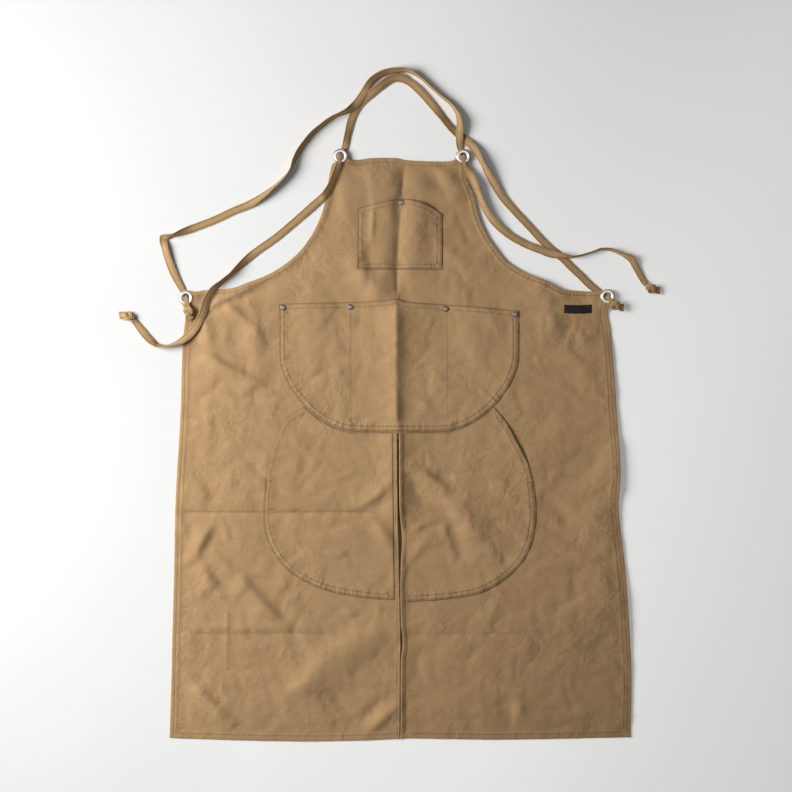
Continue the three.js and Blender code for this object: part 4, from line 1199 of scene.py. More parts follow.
def stitch_row(spots, ply_of, thread):
    """Centres, ways and ups of the stitches along a polyline on the cloth."""
    even, _ = resampled(spots, np.arange(len(spots)), STITCH_PITCH)
    middles = (even[1:] + even[:-1]) / 2
    starts = ply_of(*(even[:-1]).T).top
    ends = ply_of(*(even[1:]).T).top
    level = ply_of(*middles.T).top
    ways = unit(np.column_stack([even[1:] - even[:-1], ends - starts]))
    ups = unit(np.cross(np.cross(ways, UPWARD), ways))
    centres = np.column_stack([middles, level + thread * STITCH_SUNK])
    return centres, ways, ups


def stitching_object(name, lines, ply_of, thread, material):
    rows = [stitch_row(spots, ply_of, thread) for spots in lines]
    centres, ways, ups = (np.vstack(column) for column in zip(*rows))
    points, faces = stitch_points(centres, ways, ups, STITCH_LENGTH, thread)
    return new_object(name, points, faces, [material])


# Tapes

# Half of a tape's section, from its edge to its middle, as shares of half its width and thickness
TAPE_SECTION = [
    (1.0, 0.0), (0.99, 0.5), (0.95, 0.8), (0.82, 0.96), (0.7, 0.66), (0.58, 0.9), (0.0, 0.84),
]
# Faces of the section to each side of an edge that are its rim
TAPE_RIM = 2


def tape_section(width, thick):
    """Points of a tape's cross-section: rolled edges with a sewn groove inside each."""
    w, t = width / 2, thick / 2
    half = [(s * w, u * t) for s, u in TAPE_SECTION]
    top = half + [(-s, u) for s, u in reversed(half[:-1])]
    return top + [(s, -u) for s, u in reversed(top[1:-1])]


def flatten_rims(obj, around, rings):
    """Shades the narrow faces along a tape's edges flat, so that its two faces stay flat too."""
    quarter = around // 4
    flat = [k for turn in (0, 2 * quarter) for k in range(turn - TAPE_RIM, turn + TAPE_RIM)]
    smooth = np.ones(len(obj.data.polygons), bool)
    for k in flat:
        smooth[k % around:(rings - 1) * around:around] = False
    obj.data.polygons.foreach_set("use_smooth", smooth)


def tape_rise(width, roll):
    """Height of a rolled tape's middle over its lowest edge."""
    return width / 2 * np.abs(np.sin(roll)) + TAPE_THICKNESS / 2 * np.abs(np.cos(roll))


def tape_middle(row, across):
    """Height of a tape's middle where it rests on the floor, the cloth or the other tape."""
    if row.z is not None:
        return row.z
    rise = tape_rise(row.width, math.radians(row.roll))
    if row.on == "floor":
        return TAPE_REST + rise
    if row.on == "strap":
        return TAPE_OVER_TAPE + rise
    return under_tape(np.array([row.x, row.y]), across, row.width) + TAPE_OVER_CLOTH + rise


def under_tape(spot, across, width):
    """The highest cloth under a tape."""
    spots = spot + across * (np.array(TAPE_PROBES) * width)[:, None]
    covered = inside(body_outline().points, *spots.T)
    if not covered.any():
        return 0.0
    cloth = bpy.context.scene.apron_sizes.cloth / MM
    return float(body_ply(*spots[covered].T, cloth).top.max())


TapeFrames = namedtuple("TapeFrames", "middle side up width run")


def tape_line(route):
    """Points along a tape's route, smooth between its kinks, and their places in the list."""
    flat = np.array([(row.x, row.y) for row in route], float)
    last = len(route) - 1
    turns = [0, *(i for i, row in enumerate(route) if row.kink), last]
    spots, places = [], []
    for start, end in zip(turns[:-1], turns[1:]):
        stretch, at = smooth_curve(flat[start:end + 1], TAPE_STEP)
        kept = len(stretch) if end == last else len(stretch) - 1
        spots.append(stretch[:kept])
        places.append(at[:kept] + start)
    return np.vstack(spots), np.concatenate(places)


def tape_frames(route):
    """Middle, sideways and upward directions of a tape along its route."""
    spots, places = tape_line(route)
    across = right_of(unit(np.gradient(spots, axis=0)))
    rows = np.arange(len(route))
    row_across = across[[int(np.argmin(np.abs(places - i))) for i in rows]]
    heights = [tape_middle(row, a) for row, a in zip(route, row_across)]
    roll = np.radians(np.interp(places, rows, [row.roll for row in route]))
    width = np.interp(places, rows, [row.width for row in route])
    z = np.interp(places, rows, heights)
    on_body, on_strap, held = (
        np.interp(places, rows, [float(row.on == kind) for row in route])
        for kind in ("body", "strap", "held"))
    rise = tape_rise(width, roll)
    z = np.where(held < TAPE_HELD, np.maximum(z, TAPE_REST + rise), z)
    z = np.where(on_strap > TAPE_LIES, np.maximum(z, TAPE_OVER_TAPE + rise), z)
    for i in np.flatnonzero(on_body > TAPE_LIES):
        z[i] = max(z[i], under_tape(spots[i], across[i], width[i]) + TAPE_OVER_CLOTH + rise[i])
    z = np.convolve(np.pad(z, len(TAPE_SMOOTHING) // 2, mode="edge"), TAPE_SMOOTHING, mode="valid")
    z = np.where(held < TAPE_HELD, np.maximum(z, TAPE_REST + rise), z)
    side = np.column_stack([across * np.cos(roll)[:, None], np.sin(roll)])
    up = np.column_stack([-across * np.sin(roll)[:, None], np.cos(roll)])
    middle = np.column_stack([spots, z])
    return TapeFrames(middle, side, up, width, run_along(middle))


def swept(frames, sections):
    """Points and faces of a closed sweep with flat ends."""
    around = len(sections[0])
    rings = []
    for middle, side, up, section in zip(frames.middle, frames.side, frames.up, sections):
        s, u = np.array(section).T
        rings.append(middle + s[:, None] * side + u[:, None] * up)
    points = np.vstack(rings)
    faces = []
    for i in range(len(rings) - 1):
        for k in range(around):
            a, b = i * around + k, i * around + (k + 1) % around
            faces.append([a, b, b + around, a + around])
    last = (len(rings) - 1) * around
    faces.append(list(range(around))[::-1])
    faces.append(list(range(last, last + around)))
    return points, faces


TAPE_STITCH = {"inset": 2.0, "least": 0.3, "lift": 0.78, "pitch": 3.4, "length": 2.5}


def tape_stitches(frames, thread):
    """Stitches beside both edges of a tape, on both of its faces."""
    stitch = TAPE_STITCH
    spacing = np.arange(stitch["pitch"], frames.run[-1] - stitch["pitch"], stitch["pitch"])

    def at(values):
        return np.column_stack([np.interp(spacing, frames.run, column) for column in values.T])

    middle, side, up = at(frames.middle), at(frames.side), at(frames.up)
    width = np.interp(spacing, frames.run, frames.width)
    inset = np.maximum(width / 2 - stitch["inset"], width * stitch["least"])
    rows = []
    for edge in (-1, 1):
        for face in (-1, 1):
            lift = TAPE_THICKNESS / 2 * stitch["lift"] * face
            centres = middle + side * (edge * inset)[:, None] + up * lift
            ways = unit(np.gradient(centres, axis=0))
            outward = up * face
            ups = unit(outward - ways * np.einsum("ij,ij->i", outward, ways)[:, None])
            rows.append((centres, ways, ups))
    centres, ways, ups = (np.vstack(column) for column in zip(*rows))
    return stitch_points(centres, ways, ups, stitch["length"], thread)


def tape_object(name, route, materials, thread):
    """A tape with its stitches, in one mesh, and the line that it follows."""
    frames = tape_frames(route)
    sections = [tape_section(width, TAPE_THICKNESS) for width in frames.width]
    points, faces = swept(frames, sections)
    sewn, sewn_faces = tape_stitches(frames, thread)
    every = np.vstack([points, sewn])
    obj = new_object(name, every, faces + (sewn_faces + len(points)).tolist(), materials)
    part = np.zeros(len(obj.data.polygons), int)
    part[len(faces):] = 1
    obj.data.polygons.foreach_set("material_index", part)
    flatten_rims(obj, len(sections[0]), len(sections))
    tape_map(obj, sections, frames.run, len(sewn))
    return obj, frames


def tape_map(obj, sections, run, rest):
    """A map in metres: across the tape and along it, with nothing for the rest of the points."""
    across = np.concatenate([np.array(section)[:, 0] for section in sections])
    along = np.repeat(run, len(sections[0]))
    layer = obj.data.uv_layers.new(name="tape")
    spots = np.zeros((len(across) + rest, 2))
    spots[:len(across)] = np.stack([across, along], axis=1) * MM
    corner = np.zeros(len(obj.data.loops), int)
    obj.data.loops.foreach_get("vertex_index", corner)
    layer.data.foreach_set("uv", spots[corner].ravel())


KNOT_STEP = 0.8


def knot_object(knot, cloth, materials):
    """A tape tied in an overhand knot with a flared tail."""
    rows = np.array(KNOT_WAY, float)
    way, places = smooth_curve(rows[:, :3], KNOT_STEP)
    number = np.arange(len(rows))
    width, thick = (np.interp(places, number, column) for column in rows[:, 3:].T)
    ahead = unit(np.gradient(way, axis=0))
    side = unit(np.cross(ahead, UPWARD))
    up = np.cross(side, ahead)
    turn = math.radians(knot.heading)
    spin = np.array([
        [math.cos(turn), math.sin(turn), 0.0], [-math.sin(turn), math.cos(turn), 0.0], [0.0, 0.0, 1.0],
    ])
    place = np.array([knot.x, knot.y, knot_height(knot, cloth)])
    frames = TapeFrames(way @ spin + place, side @ spin, up @ spin, width, run_along(way))
    sections = [tape_section(w, t) for w, t in zip(width, thick)]
    points, faces = swept(frames, sections)
    points[:, 2] = np.maximum(points[:, 2], TAPE_REST)
    obj = new_object(knot.name + "_tied", points, faces, materials[:1])
    flatten_rims(obj, len(sections[0]), len(sections))
    tape_map(obj, sections, frames.run, 0)
    return obj


def knot_height(knot, cloth):
    """Height of a knot's middle where it lies."""
    if knot.z is not None:
        return knot.z
    under = 0.0
    if knot.on == "body":
        under = float(body_ply([knot.x], [knot.y], cloth).top[0])
    return under + TAPE_GAP + KNOT_HEIGHT / 2


# Turned metal, in edit mode

WELD = 0.00001
SHARP_ANGLE = 38.0


def turned_object(name, profile, sides, material, closed):
    """A metal piece turned about +Z from a profile of (radius, height) rows, in millimetres."""
    bpy.ops.object.select_all(action="DESELECT")
    radius, height = profile[0]
    bpy.ops.mesh.primitive_circle_add(
        vertices=sides, radius=radius * MM, fill_type="NOTHING", location=(0, 0, 0))
    obj = bpy.context.object
    obj.name = name
    obj.data.name = name
    bpy.ops.object.mode_set(mode="EDIT")
    bpy.ops.mesh.select_all(action="SELECT")
    bpy.ops.transform.translate(value=(0, 0, height * MM))
    for next_radius, next_height in profile[1:]:
        bpy.ops.mesh.extrude_edges_move(
            TRANSFORM_OT_translate={"value": (0, 0, (next_height - height) * MM)})
        scale = next_radius / radius
        bpy.ops.transform.resize(value=(scale, scale, 1), center_override=(0, 0, next_height * MM))
        radius, height = next_radius, next_height
    if not closed:
        bpy.ops.mesh.edge_face_add()
    bpy.ops.mesh.select_all(action="SELECT")
    bpy.ops.mesh.remove_doubles(threshold=WELD)
    if not closed:
        bpy.ops.mesh.fill_holes(sides=0)
    bpy.ops.mesh.select_all(action="SELECT")
    bpy.ops.mesh.normals_make_consistent(inside=False)
    bpy.ops.object.mode_set(mode="OBJECT")
    bpy.ops.object.shade_smooth_by_angle(angle=math.radians(SHARP_ANGLE))
    obj.data.materials.append(material)
    return obj


def finish_middle(obj, radius, material):
    """Gives the faces within a radius of the axis a finish of their own."""
    obj.data.materials.append(material)
    for face in obj.data.polygons:
        face.material_index = int(math.hypot(*face.center[:2]) < radius * MM)


def set_down(obj, x, y, z):
    """Moves the mesh, so that the object stays at the origin."""
    obj.data.transform(Matrix.Translation((x * MM, y * MM, z * MM)))
    obj.data.update()


EYELET_PROFILE = [
    (5.9, -0.6), (6.1, -1.0), (6.6, -1.2), (9.0, -1.2), (9.8, -0.9), (9.9, -0.4), (7.4, -0.3),
    (7.3, 1.4), (10.6, 1.35), (10.95, 1.55), (11.0, 1.9), (10.8, 2.4), (10.2, 2.8), (9.3, 3.05),
    (8.4, 3.1), (7.5, 2.95), (6.7, 2.6), (6.15, 2.1), (5.95, 1.5), (5.9, 0.6), (5.9, -0.6),
]
RIVET_PROFILE = [
    (1.9, -1.2), (1.9, 0.1), (4.5, 0.12), (4.7, 0.35), (4.6, 0.75), (4.2, 1.1), (3.5, 1.25),
    (3.1, 1.2), (2.8, 1.3), (2.2, 1.5), (1.2, 1.62), (0.4, 1.66),
]
EYELET_SIDES = 56
EYELET_BARREL = 6.4
RIVET_SIDES = 40
RIVET_DOME = 2.3


# Materials

FLOAT, VECTOR = "NodeSocketFloat", "NodeSocketVector"


def new_material(name):
    """A material and its empty node tree."""
    material = bpy.data.materials.new(name)
    material.use_nodes = True
    material.node_tree.nodes.clear()
    return material, material.node_tree


def new_group(name, inputs, outputs):
    """A node group with named sockets, its input node and its output node."""
    group = bpy.data.node_groups.new(name, "ShaderNodeTree")
    for socket, kind in inputs:
        group.interface.new_socket(name=socket, in_out="INPUT", socket_type=kind)
    for socket, kind in outputs:
        group.interface.new_socket(name=socket, in_out="OUTPUT", socket_type=kind)
    return group, group.nodes.new("NodeGroupInput"), group.nodes.new("NodeGroupOutput")


def add(tree, kind, inputs=None, **settings):
    """A node with its settings, and its inputs given as values or as sockets to link from."""
    node = tree.nodes.new(kind)
    for name, value in settings.items():
        setattr(node, name, value)
    for name, value in (inputs or {}).items():
        socket = node.inputs[name]
        if isinstance(value, bpy.types.NodeSocket):
            tree.links.new(value, socket)
        else:
            socket.default_value = value
    return node


def math_node(tree, operation, a, b=0.0):
    return add(tree, "ShaderNodeMath", {0: a, 1: b}, operation=operation).outputs[0]


def noise_node(tree, spot, scale, detail, **more):
    inputs = {"Vector": spot, "Scale": scale, "Detail": detail, **more}
    return add(tree, "ShaderNodeTexNoise", inputs).outputs["Fac"]


def ramp(tree, value, start, full, low=0.0, high=1.0, kind="SMOOTHSTEP"):
    """A value that goes from low to high as another goes from start to full."""
    inputs = {"Value": value, "From Min": start, "From Max": full, "To Min": low, "To Max": high}
    return add(tree, "ShaderNodeMapRange", inputs, interpolation_type=kind).outputs[0]


def around_one(tree, mask, strength):
    """A factor about 1 from a mask about a half."""
    centred = math_node(tree, "SUBTRACT", mask, 0.5)
    return math_node(tree, "ADD", math_node(tree, "MULTIPLY", centred, strength), 1.0)


def less_by(tree, mask, strength):
    """A factor that is 1 less a share of the mask."""
    return math_node(tree, "SUBTRACT", 1.0, math_node(tree, "MULTIPLY", mask, strength))


def tinted(tree, colour, factor):
    """The colour times a factor."""
    inputs = {0: (*colour,), "Scale": factor}
    return add(tree, "ShaderNodeVectorMath", inputs, operation="SCALE").outputs[0]


def object_spot(tree):
    return add(tree, "ShaderNodeTexCoord").outputs["Object"]


def attribute(tree, name):
    return add(tree, "ShaderNodeAttribute", attribute_name=name).outputs["Fac"]


def finish_surface(tree, inputs):
    principled = add(tree, "ShaderNodeBsdfPrincipled", inputs)
    add(tree, "ShaderNodeOutputMaterial", {"Surface": principled.outputs[0]})


WEAVE_ROUND = 0.7


@lru_cache(maxsize=None)
def plain_weave():
    """Height and thread mask of a plain weave, with threads per metre."""
    group, given, made = new_group(
        "Plain weave", [("Vector", VECTOR), ("Threads", FLOAT)], [("Height", FLOAT), ("Thread", FLOAT)])
    scaled = add(
        group, "ShaderNodeVectorMath",
        {0: given.outputs["Vector"], "Scale": given.outputs["Threads"]}, operation="SCALE")
    axes = add(group, "ShaderNodeSeparateXYZ", {0: scaled.outputs[0]})
    half_turn = [math_node(group, "MULTIPLY", axes.outputs[k], math.pi) for k in (0, 1)]
    waves = [math_node(group, "SINE", angle) for angle in half_turn]
    crossing = math_node(group, "MULTIPLY", *waves)
    height = math_node(group, "POWER", math_node(group, "ABSOLUTE", crossing), WEAVE_ROUND)
    thread = math_node(group, "ADD", math_node(group, "MULTIPLY", crossing, 0.5), 0.5)
    group.links.new(height, made.inputs["Height"])
    group.links.new(thread, made.inputs["Thread"])
    return group


# Scales per metre of the uneven dye and of the threads, and how far those are drawn out
DYE_BROAD = 7.0
DYE_PATCHES = 46.0
THREAD_STREAKS = 620.0
THREAD_STRETCH = 0.09


@lru_cache(maxsize=None)
def cloth_mottling():
    """Uneven dye and thick threads: a broad mask, a middle one and a streaky one, each about a half."""
    group, given, made = new_group(
        "Cloth mottling", [("Vector", VECTOR)], [("Broad", FLOAT), ("Patches", FLOAT), ("Streaks", FLOAT)])
    spot = given.outputs["Vector"]
    broad = noise_node(group, spot, DYE_BROAD, detail=2.0)
    patches = noise_node(group, spot, DYE_PATCHES, detail=4.0, Roughness=0.62)
    streaks = []
    for stretch in ((1.0, THREAD_STRETCH, 1.0), (THREAD_STRETCH, 1.0, 1.0)):
        drawn = add(group, "ShaderNodeVectorMath", {0: spot, 1: stretch}, operation="MULTIPLY").outputs[0]
        streaks.append(noise_node(group, drawn, THREAD_STREAKS, detail=2.0))
    both = math_node(group, "MULTIPLY", math_node(group, "ADD", *streaks), 0.5)
    group.links.new(broad, made.inputs["Broad"])
    group.links.new(patches, made.inputs["Patches"])
    group.links.new(both, made.inputs["Streaks"])
    return group


# Fine crumples: scale per metre, height in metres, slant in radians and how far they are drawn out
CrumpleOctave = namedtuple("CrumpleOctave", "scale height slant stretch")
CRUMPLE_OCTAVES = [
    CrumpleOctave(34.0, 0.0009, 0.0, 1.0),
    CrumpleOctave(62.0, 0.0005, 1.05, 0.38),
    CrumpleOctave(88.0, 0.0003, -0.6, 0.38),
]
CRUMPLE_PLACES = {"scale": 8.0, "start": 0.36, "full": 0.64, "least": 0.2, "most": 1.15}
CRUMPLE_NARROW = 28.0


@lru_cache(maxsize=None)
def cloth_crumple():
    """Height in metres of fine crumples, more in some places than in others, and a mask of their creases for
    painted shade.
    """
    group, given, made = new_group(
        "Cloth crumple", [("Vector", VECTOR)], [("Height", FLOAT), ("Creases", FLOAT)])
    spot = given.outputs["Vector"]
    where = CRUMPLE_PLACES
    places = noise_node(group, spot, where["scale"], detail=1.0)
    amount = ramp(group, places, where["start"], where["full"], where["least"], where["most"])
    total, lines = 0.0, 1.0
    for octave in CRUMPLE_OCTAVES:
        cosine, sine = math.cos(octave.slant), math.sin(octave.slant)
        axes = [(cosine * octave.stretch, sine * octave.stretch, 0.0), (-sine, cosine, 0.0)]
        turned = [
            add(group, "ShaderNodeVectorMath", {0: spot, 1: axis}, operation="DOT_PRODUCT").outputs["Value"]
            for axis in axes]
        drawn = add(group, "ShaderNodeCombineXYZ", {0: turned[0], 1: turned[1]}).outputs[0]
        field = noise_node(group, drawn, octave.scale, detail=2.0, Roughness=0.5, Distortion=0.7)
        bent = math_node(group, "ABSOLUTE", math_node(group, "SUBTRACT", field, 0.5))
        total = math_node(group, "ADD", math_node(group, "MULTIPLY", bent, 2.0 * octave.height), total)
        narrow = math_node(group, "MINIMUM", math_node(group, "MULTIPLY", bent, CRUMPLE_NARROW), 1.0)
        lines = math_node(group, "MULTIPLY", lines, narrow)
    creases = math_node(group, "MULTIPLY", math_node(group, "SUBTRACT", 1.0, lines), amount)
    group.links.new(math_node(group, "MULTIPLY", total, amount), made.inputs["Height"])
    group.links.new(creases, made.inputs["Creases"])
    return group


# Where the cloth is painted darker towards the top and the lower right, as shade, in metres, and how much
# darker it is there
PAINTED_FALLOFF_SHADE = {
    "bib_y": (0.2, 0.44), "bib_dark": 0.11, "foot_x": (-0.02, 0.3), "foot_y": (-0.12, -0.4),
    "foot_dark": 0.12,
}


@lru_cache(maxsize=None)
def painted_falloff_shade():
    """A factor of painted shade: darker on the bib and on the right leg's foot."""
    group, given, made = new_group("Uneven fading", [("Vector", VECTOR)], [("Factor", FLOAT)])
    axes = add(group, "ShaderNodeSeparateXYZ", {0: given.outputs["Vector"]}).outputs
    less = PAINTED_FALLOFF_SHADE
    bib = math_node(group, "MULTIPLY", ramp(group, axes[1], *less["bib_y"]), less["bib_dark"])
    foot = math_node(
        group, "MULTIPLY", ramp(group, axes[0], *less["foot_x"]), ramp(group, axes[1], *less["foot_y"]))
    darker = math_node(group, "ADD", bib, math_node(group, "MULTIPLY", foot, less["foot_dark"]))
    group.links.new(math_node(group, "SUBTRACT", 1.0, darker), made.inputs["Factor"])
    return group


# Gathers per metre along a seam and away from it, and their height in metres
GATHERS = {"along": 190.0, "inward": 38.0, "height": 0.0016}


@lru_cache(maxsize=None)
def seam_pucker():
    """Height in metres of the small gathers across a seam."""
    group, given, made = new_group(
        "Seam pucker", [("Run", FLOAT), ("Edge", FLOAT), ("Strength", FLOAT)], [("Height", FLOAT)])
    along = math_node(group, "MULTIPLY", given.outputs["Run"], GATHERS["along"])
    inward = math_node(group, "MULTIPLY", given.outputs["Edge"], GATHERS["inward"])
    spot = add(group, "ShaderNodeCombineXYZ", {0: along, 1: inward}).outputs[0]
    gathers = noise_node(group, spot, scale=1.0, detail=1.5)
    height = math_node(group, "MULTIPLY", gathers, given.outputs["Strength"])
    group.links.new(math_node(group, "MULTIPLY", height, GATHERS["height"]), made.inputs["Height"])
    return group


# Distance of the sewn lines from a tape's middle, their half width and darkness, and its paler edges
TAPE_SEAM = {"at": 0.0043, "half": 0.0008, "dark": 0.42, "edge": 0.0058, "pale": 0.1}


def tape_seams(tree, across):
    """Factors for the two dark sewn lines of a tape and its paler edges, from the distance to its middle."""
    seam = TAPE_SEAM
    away = math_node(tree, "ABSOLUTE", math_node(tree, "SUBTRACT", across, seam["at"]))
    near = ramp(tree, away, 0.0, seam["half"] * 2, seam["dark"], 0.0)
    rim = ramp(tree, across, seam["at"], seam["edge"], 1.0, 1.0 + seam["pale"], "LINEAR")
    return [math_node(tree, "SUBTRACT", 1.0, near), rim]


# How far each mask changes a cloth's shade; the crumple creases and the groove mark paint shade into the
# cloth
MOTTLING_SHADES = {"Broad": 0.16, "Patches": 0.22, "Streaks": 0.4}
WEAVE_SHADE = 0.1
CRUMPLE_PAINTED_SHADE = 0.06
GROOVE_PAINTED_SHADE = 0.2
# Height in metres of the weave and of its thick threads
WEAVE_HEIGHT = 0.00005
STREAK_HEIGHT = 0.00016
CLOTH_ROUGHNESS = {"base": 0.82, "patches": 0.12}
CLOTH_SURFACE = {"Sheen Weight": 0.1, "Sheen Roughness": 0.55, "Specular IOR Level": 0.1}


def cloth_material(name, colour, threads, on_tape=False):
    """Woven cotton: mottled dye, streaky threads, crumples, paler edges from wear, painted shade in the
    grooves, creases and pocket edges, and a fine weave.
    """
    material, tree = new_material(name)
    spot = add(tree, "ShaderNodeUVMap", uv_map="tape").outputs["UV"] if on_tape else object_spot(tree)
    mottling = add(tree, "ShaderNodeGroup", {"Vector": spot}, node_tree=cloth_mottling()).outputs
    weave = add(
        tree, "ShaderNodeGroup", {"Vector": spot, "Threads": threads}, node_tree=plain_weave()).outputs
    shades = [around_one(tree, mottling[mask], share) for mask, share in MOTTLING_SHADES.items()]
    shades.append(around_one(tree, weave["Thread"], WEAVE_SHADE))
    heights = [
        math_node(tree, "MULTIPLY", weave["Height"], WEAVE_HEIGHT),
        math_node(tree, "MULTIPLY", mottling["Streaks"], STREAK_HEIGHT),
    ]
    if on_tape:
        across = math_node(tree, "ABSOLUTE", add(tree, "ShaderNodeSeparateXYZ", {0: spot}).outputs[0])
        shades += tape_seams(tree, across)
    else:
        crumple = add(tree, "ShaderNodeGroup", {"Vector": spot}, node_tree=cloth_crumple()).outputs
        falloff_shade = add(tree, "ShaderNodeGroup", {"Vector": spot}, node_tree=painted_falloff_shade()).outputs
        marks = {"Run": attribute(tree, "run"), "Edge": attribute(tree, "edge")}
        marks["Strength"] = attribute(tree, "pucker")
        pucker = add(tree, "ShaderNodeGroup", marks, node_tree=seam_pucker()).outputs
        heights += [crumple["Height"], pucker["Height"]]
        shades += [
            # Painted shade towards the top and the lower right
            falloff_shade["Factor"],
            # Painted shade along the crumples' creases
            less_by(tree, crumple["Creases"], CRUMPLE_PAINTED_SHADE),
            # Painted shade in the stitch grooves and along the creases
            less_by(tree, attribute(tree, "groove"), GROOVE_PAINTED_SHADE),
            # Paler wear on the body's edges, painted shade on a pocket's edges
            math_node(tree, "ADD", 1.0, attribute(tree, "worn")),
        ]
    shade = reduce(lambda a, b: math_node(tree, "MULTIPLY", a, b), shades)
    height = reduce(lambda a, b: math_node(tree, "ADD", a, b), heights)
    uneven = math_node(tree, "MULTIPLY", mottling["Patches"], CLOTH_ROUGHNESS["patches"])
    bump = add(tree, "ShaderNodeBump", {"Strength": 1.0, "Distance": 1.0, "Height": height})
    finish_surface(tree, {
        "Base Color": tinted(tree, colour, shade), "Normal": bump.outputs[0],
        "Roughness": math_node(tree, "ADD", uneven, CLOTH_ROUGHNESS["base"]), **CLOTH_SURFACE,
    })
    return material


THREAD_UNEVEN = {"scale": 160.0, "shade": 0.5}
THREAD_SURFACE = {"Roughness": 0.75, "Sheen Weight": 0.1}


def thread_material(colour):
    """Sewing thread of uneven shade."""
    material, tree = new_material("sewing_thread")
    uneven = noise_node(tree, object_spot(tree), THREAD_UNEVEN["scale"], detail=2.0)
    shade = around_one(tree, uneven, THREAD_UNEVEN["shade"])
    finish_surface(tree, {"Base Color": tinted(tree, colour, shade), **THREAD_SURFACE})
    return material


TARNISH = {"scale": 260.0, "detail": 5.0, "roughness": 0.2}
SCRATCHES = {"scale": 1900.0, "strength": 0.12, "depth": 0.0001}


def metal_material(name, colour, roughness, tarnish):
    """Plated metal with fine scratches and darker tarnish in patches."""
    material, tree = new_material(name)
    spot = object_spot(tree)
    patches = noise_node(tree, spot, TARNISH["scale"], TARNISH["detail"], Roughness=0.65)
    fine = noise_node(tree, spot, SCRATCHES["scale"], detail=2.0)
    rough = math_node(tree, "MULTIPLY", patches, TARNISH["roughness"])
    bump = add(tree, "ShaderNodeBump", {
        "Strength": SCRATCHES["strength"], "Distance": SCRATCHES["depth"], "Height": fine,
    })
    finish_surface(tree, {
        "Base Color": tinted(tree, colour, around_one(tree, patches, tarnish)), "Metallic": 1.0,
        "Roughness": math_node(tree, "ADD", rough, roughness), "Normal": bump.outputs[0],
    })
    return material


# The floor is painted paler, and given a painted glow, away from the light, so that it looks evenly lit
FLOOR_PAINTED_LIGHT = {
    "x": 0.46, "y": -0.25, "low_y": -0.6, "high_y": 0.2, "base": 0.95, "least": 0.54, "most": 0.97,
}
FLOOR_PAINTED_GLOW = {"y": -0.5, "start": -0.2, "full": 0.5, "strength": 0.19}
FLOOR_CLOUDS = {"scale": 5.0, "shade": 0.03}
FLOOR_SURFACE = {"Roughness": 0.85, "Specular IOR Level": 0.2, "Emission Strength": 1.0}


def held_between(tree, value, least, most):
    return math_node(tree, "MINIMUM", math_node(tree, "MAXIMUM", value, least), most)


def floor_material(colour):
    """A pale floor with painted light: paler and glowing away from the key light."""
    material, tree = new_material("pale_floor")
    spot = object_spot(tree)
    axes = add(tree, "ShaderNodeSeparateXYZ", {0: spot}).outputs
    pale, glow = FLOOR_PAINTED_LIGHT, FLOOR_PAINTED_GLOW
    held = held_between(tree, axes[1], pale["low_y"], pale["high_y"])
    slope = math_node(tree, "ADD", math_node(tree, "MULTIPLY", axes[0], pale["x"]), pale["base"])
    slope = math_node(tree, "ADD", slope, math_node(tree, "MULTIPLY", held, pale["y"]))
    slope = held_between(tree, slope, pale["least"], pale["most"])
    clouds = noise_node(tree, spot, FLOOR_CLOUDS["scale"], detail=4.0)
    shade = math_node(tree, "MULTIPLY", slope, around_one(tree, clouds, FLOOR_CLOUDS["shade"]))
    far = math_node(tree, "ADD", axes[0], math_node(tree, "MULTIPLY", axes[1], glow["y"]))
    lit = ramp(tree, far, glow["start"], glow["full"], 0.0, glow["strength"])
    finish_surface(tree, {
        "Base Color": tinted(tree, colour, shade), "Emission Color": tinted(tree, colour, lit),
        **FLOOR_SURFACE,
    })
    return material


CANVAS_THREADS = 900.0
LABEL_THREADS = 1400.0
# The rivets' domes are painted paler than their rims, as a painted highlight
DOME_HIGHLIGHT_PALER = 1.9


@lru_cache(maxsize=None)
def apron_materials():
    """The finishes of the apron's pieces by name."""
    colours = bpy.context.scene.apron_colours
    dome_highlight = [DOME_HIGHLIGHT_PALER * part for part in colours.steel]
    return {
        "canvas": cloth_material("tan_canvas", colours.canvas, CANVAS_THREADS),
        "tape": cloth_material("tan_tape", colours.tape, CANVAS_THREADS, on_tape=True),
        "thread": thread_material(colours.thread),
        "nickel": metal_material("nickel_plate", colours.nickel, roughness=0.24, tarnish=0.25),
        # Aged steel is the rivets' own colour, and painted shade inside the eyelets' bores
        "steel": metal_material("aged_steel", colours.steel, roughness=0.32, tarnish=0.6),
        "worn": metal_material("worn_steel", dome_highlight, roughness=0.3, tarnish=0.5),
        "label": cloth_material("woven_black", colours.label, LABEL_THREADS),
    }


def settle(piece, slot, *nodes):
    """The piece rides on the one body and stands for its nodes; the slot is not used."""
    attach(piece, "root")
    if nodes:
        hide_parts(*nodes)


# Operators

KEY_LIGHT = {"place": (-1.706, 0.381, 1.0), "aim": (-0.5, 0.25, 0.0), "size": 1.15, "power": 57.5}
WORLD_STRENGTH = 0.165
# A pale card overhead that only shows in the metal
CARD = {"place": (0.0, 0.0, 3.2), "size": 4.0, "power": 42.0}


def area_light(scene, name, given):
    """A lamp of a given size and power at its place, pointing down."""
    light = bpy.data.lights.new(name, "AREA")
    light.energy = given["power"]
    light.size = given["size"]
    lamp = bpy.data.objects.new(name, light)
    lamp.location = given["place"]
    scene.collection.objects.link(lamp)
    return lamp


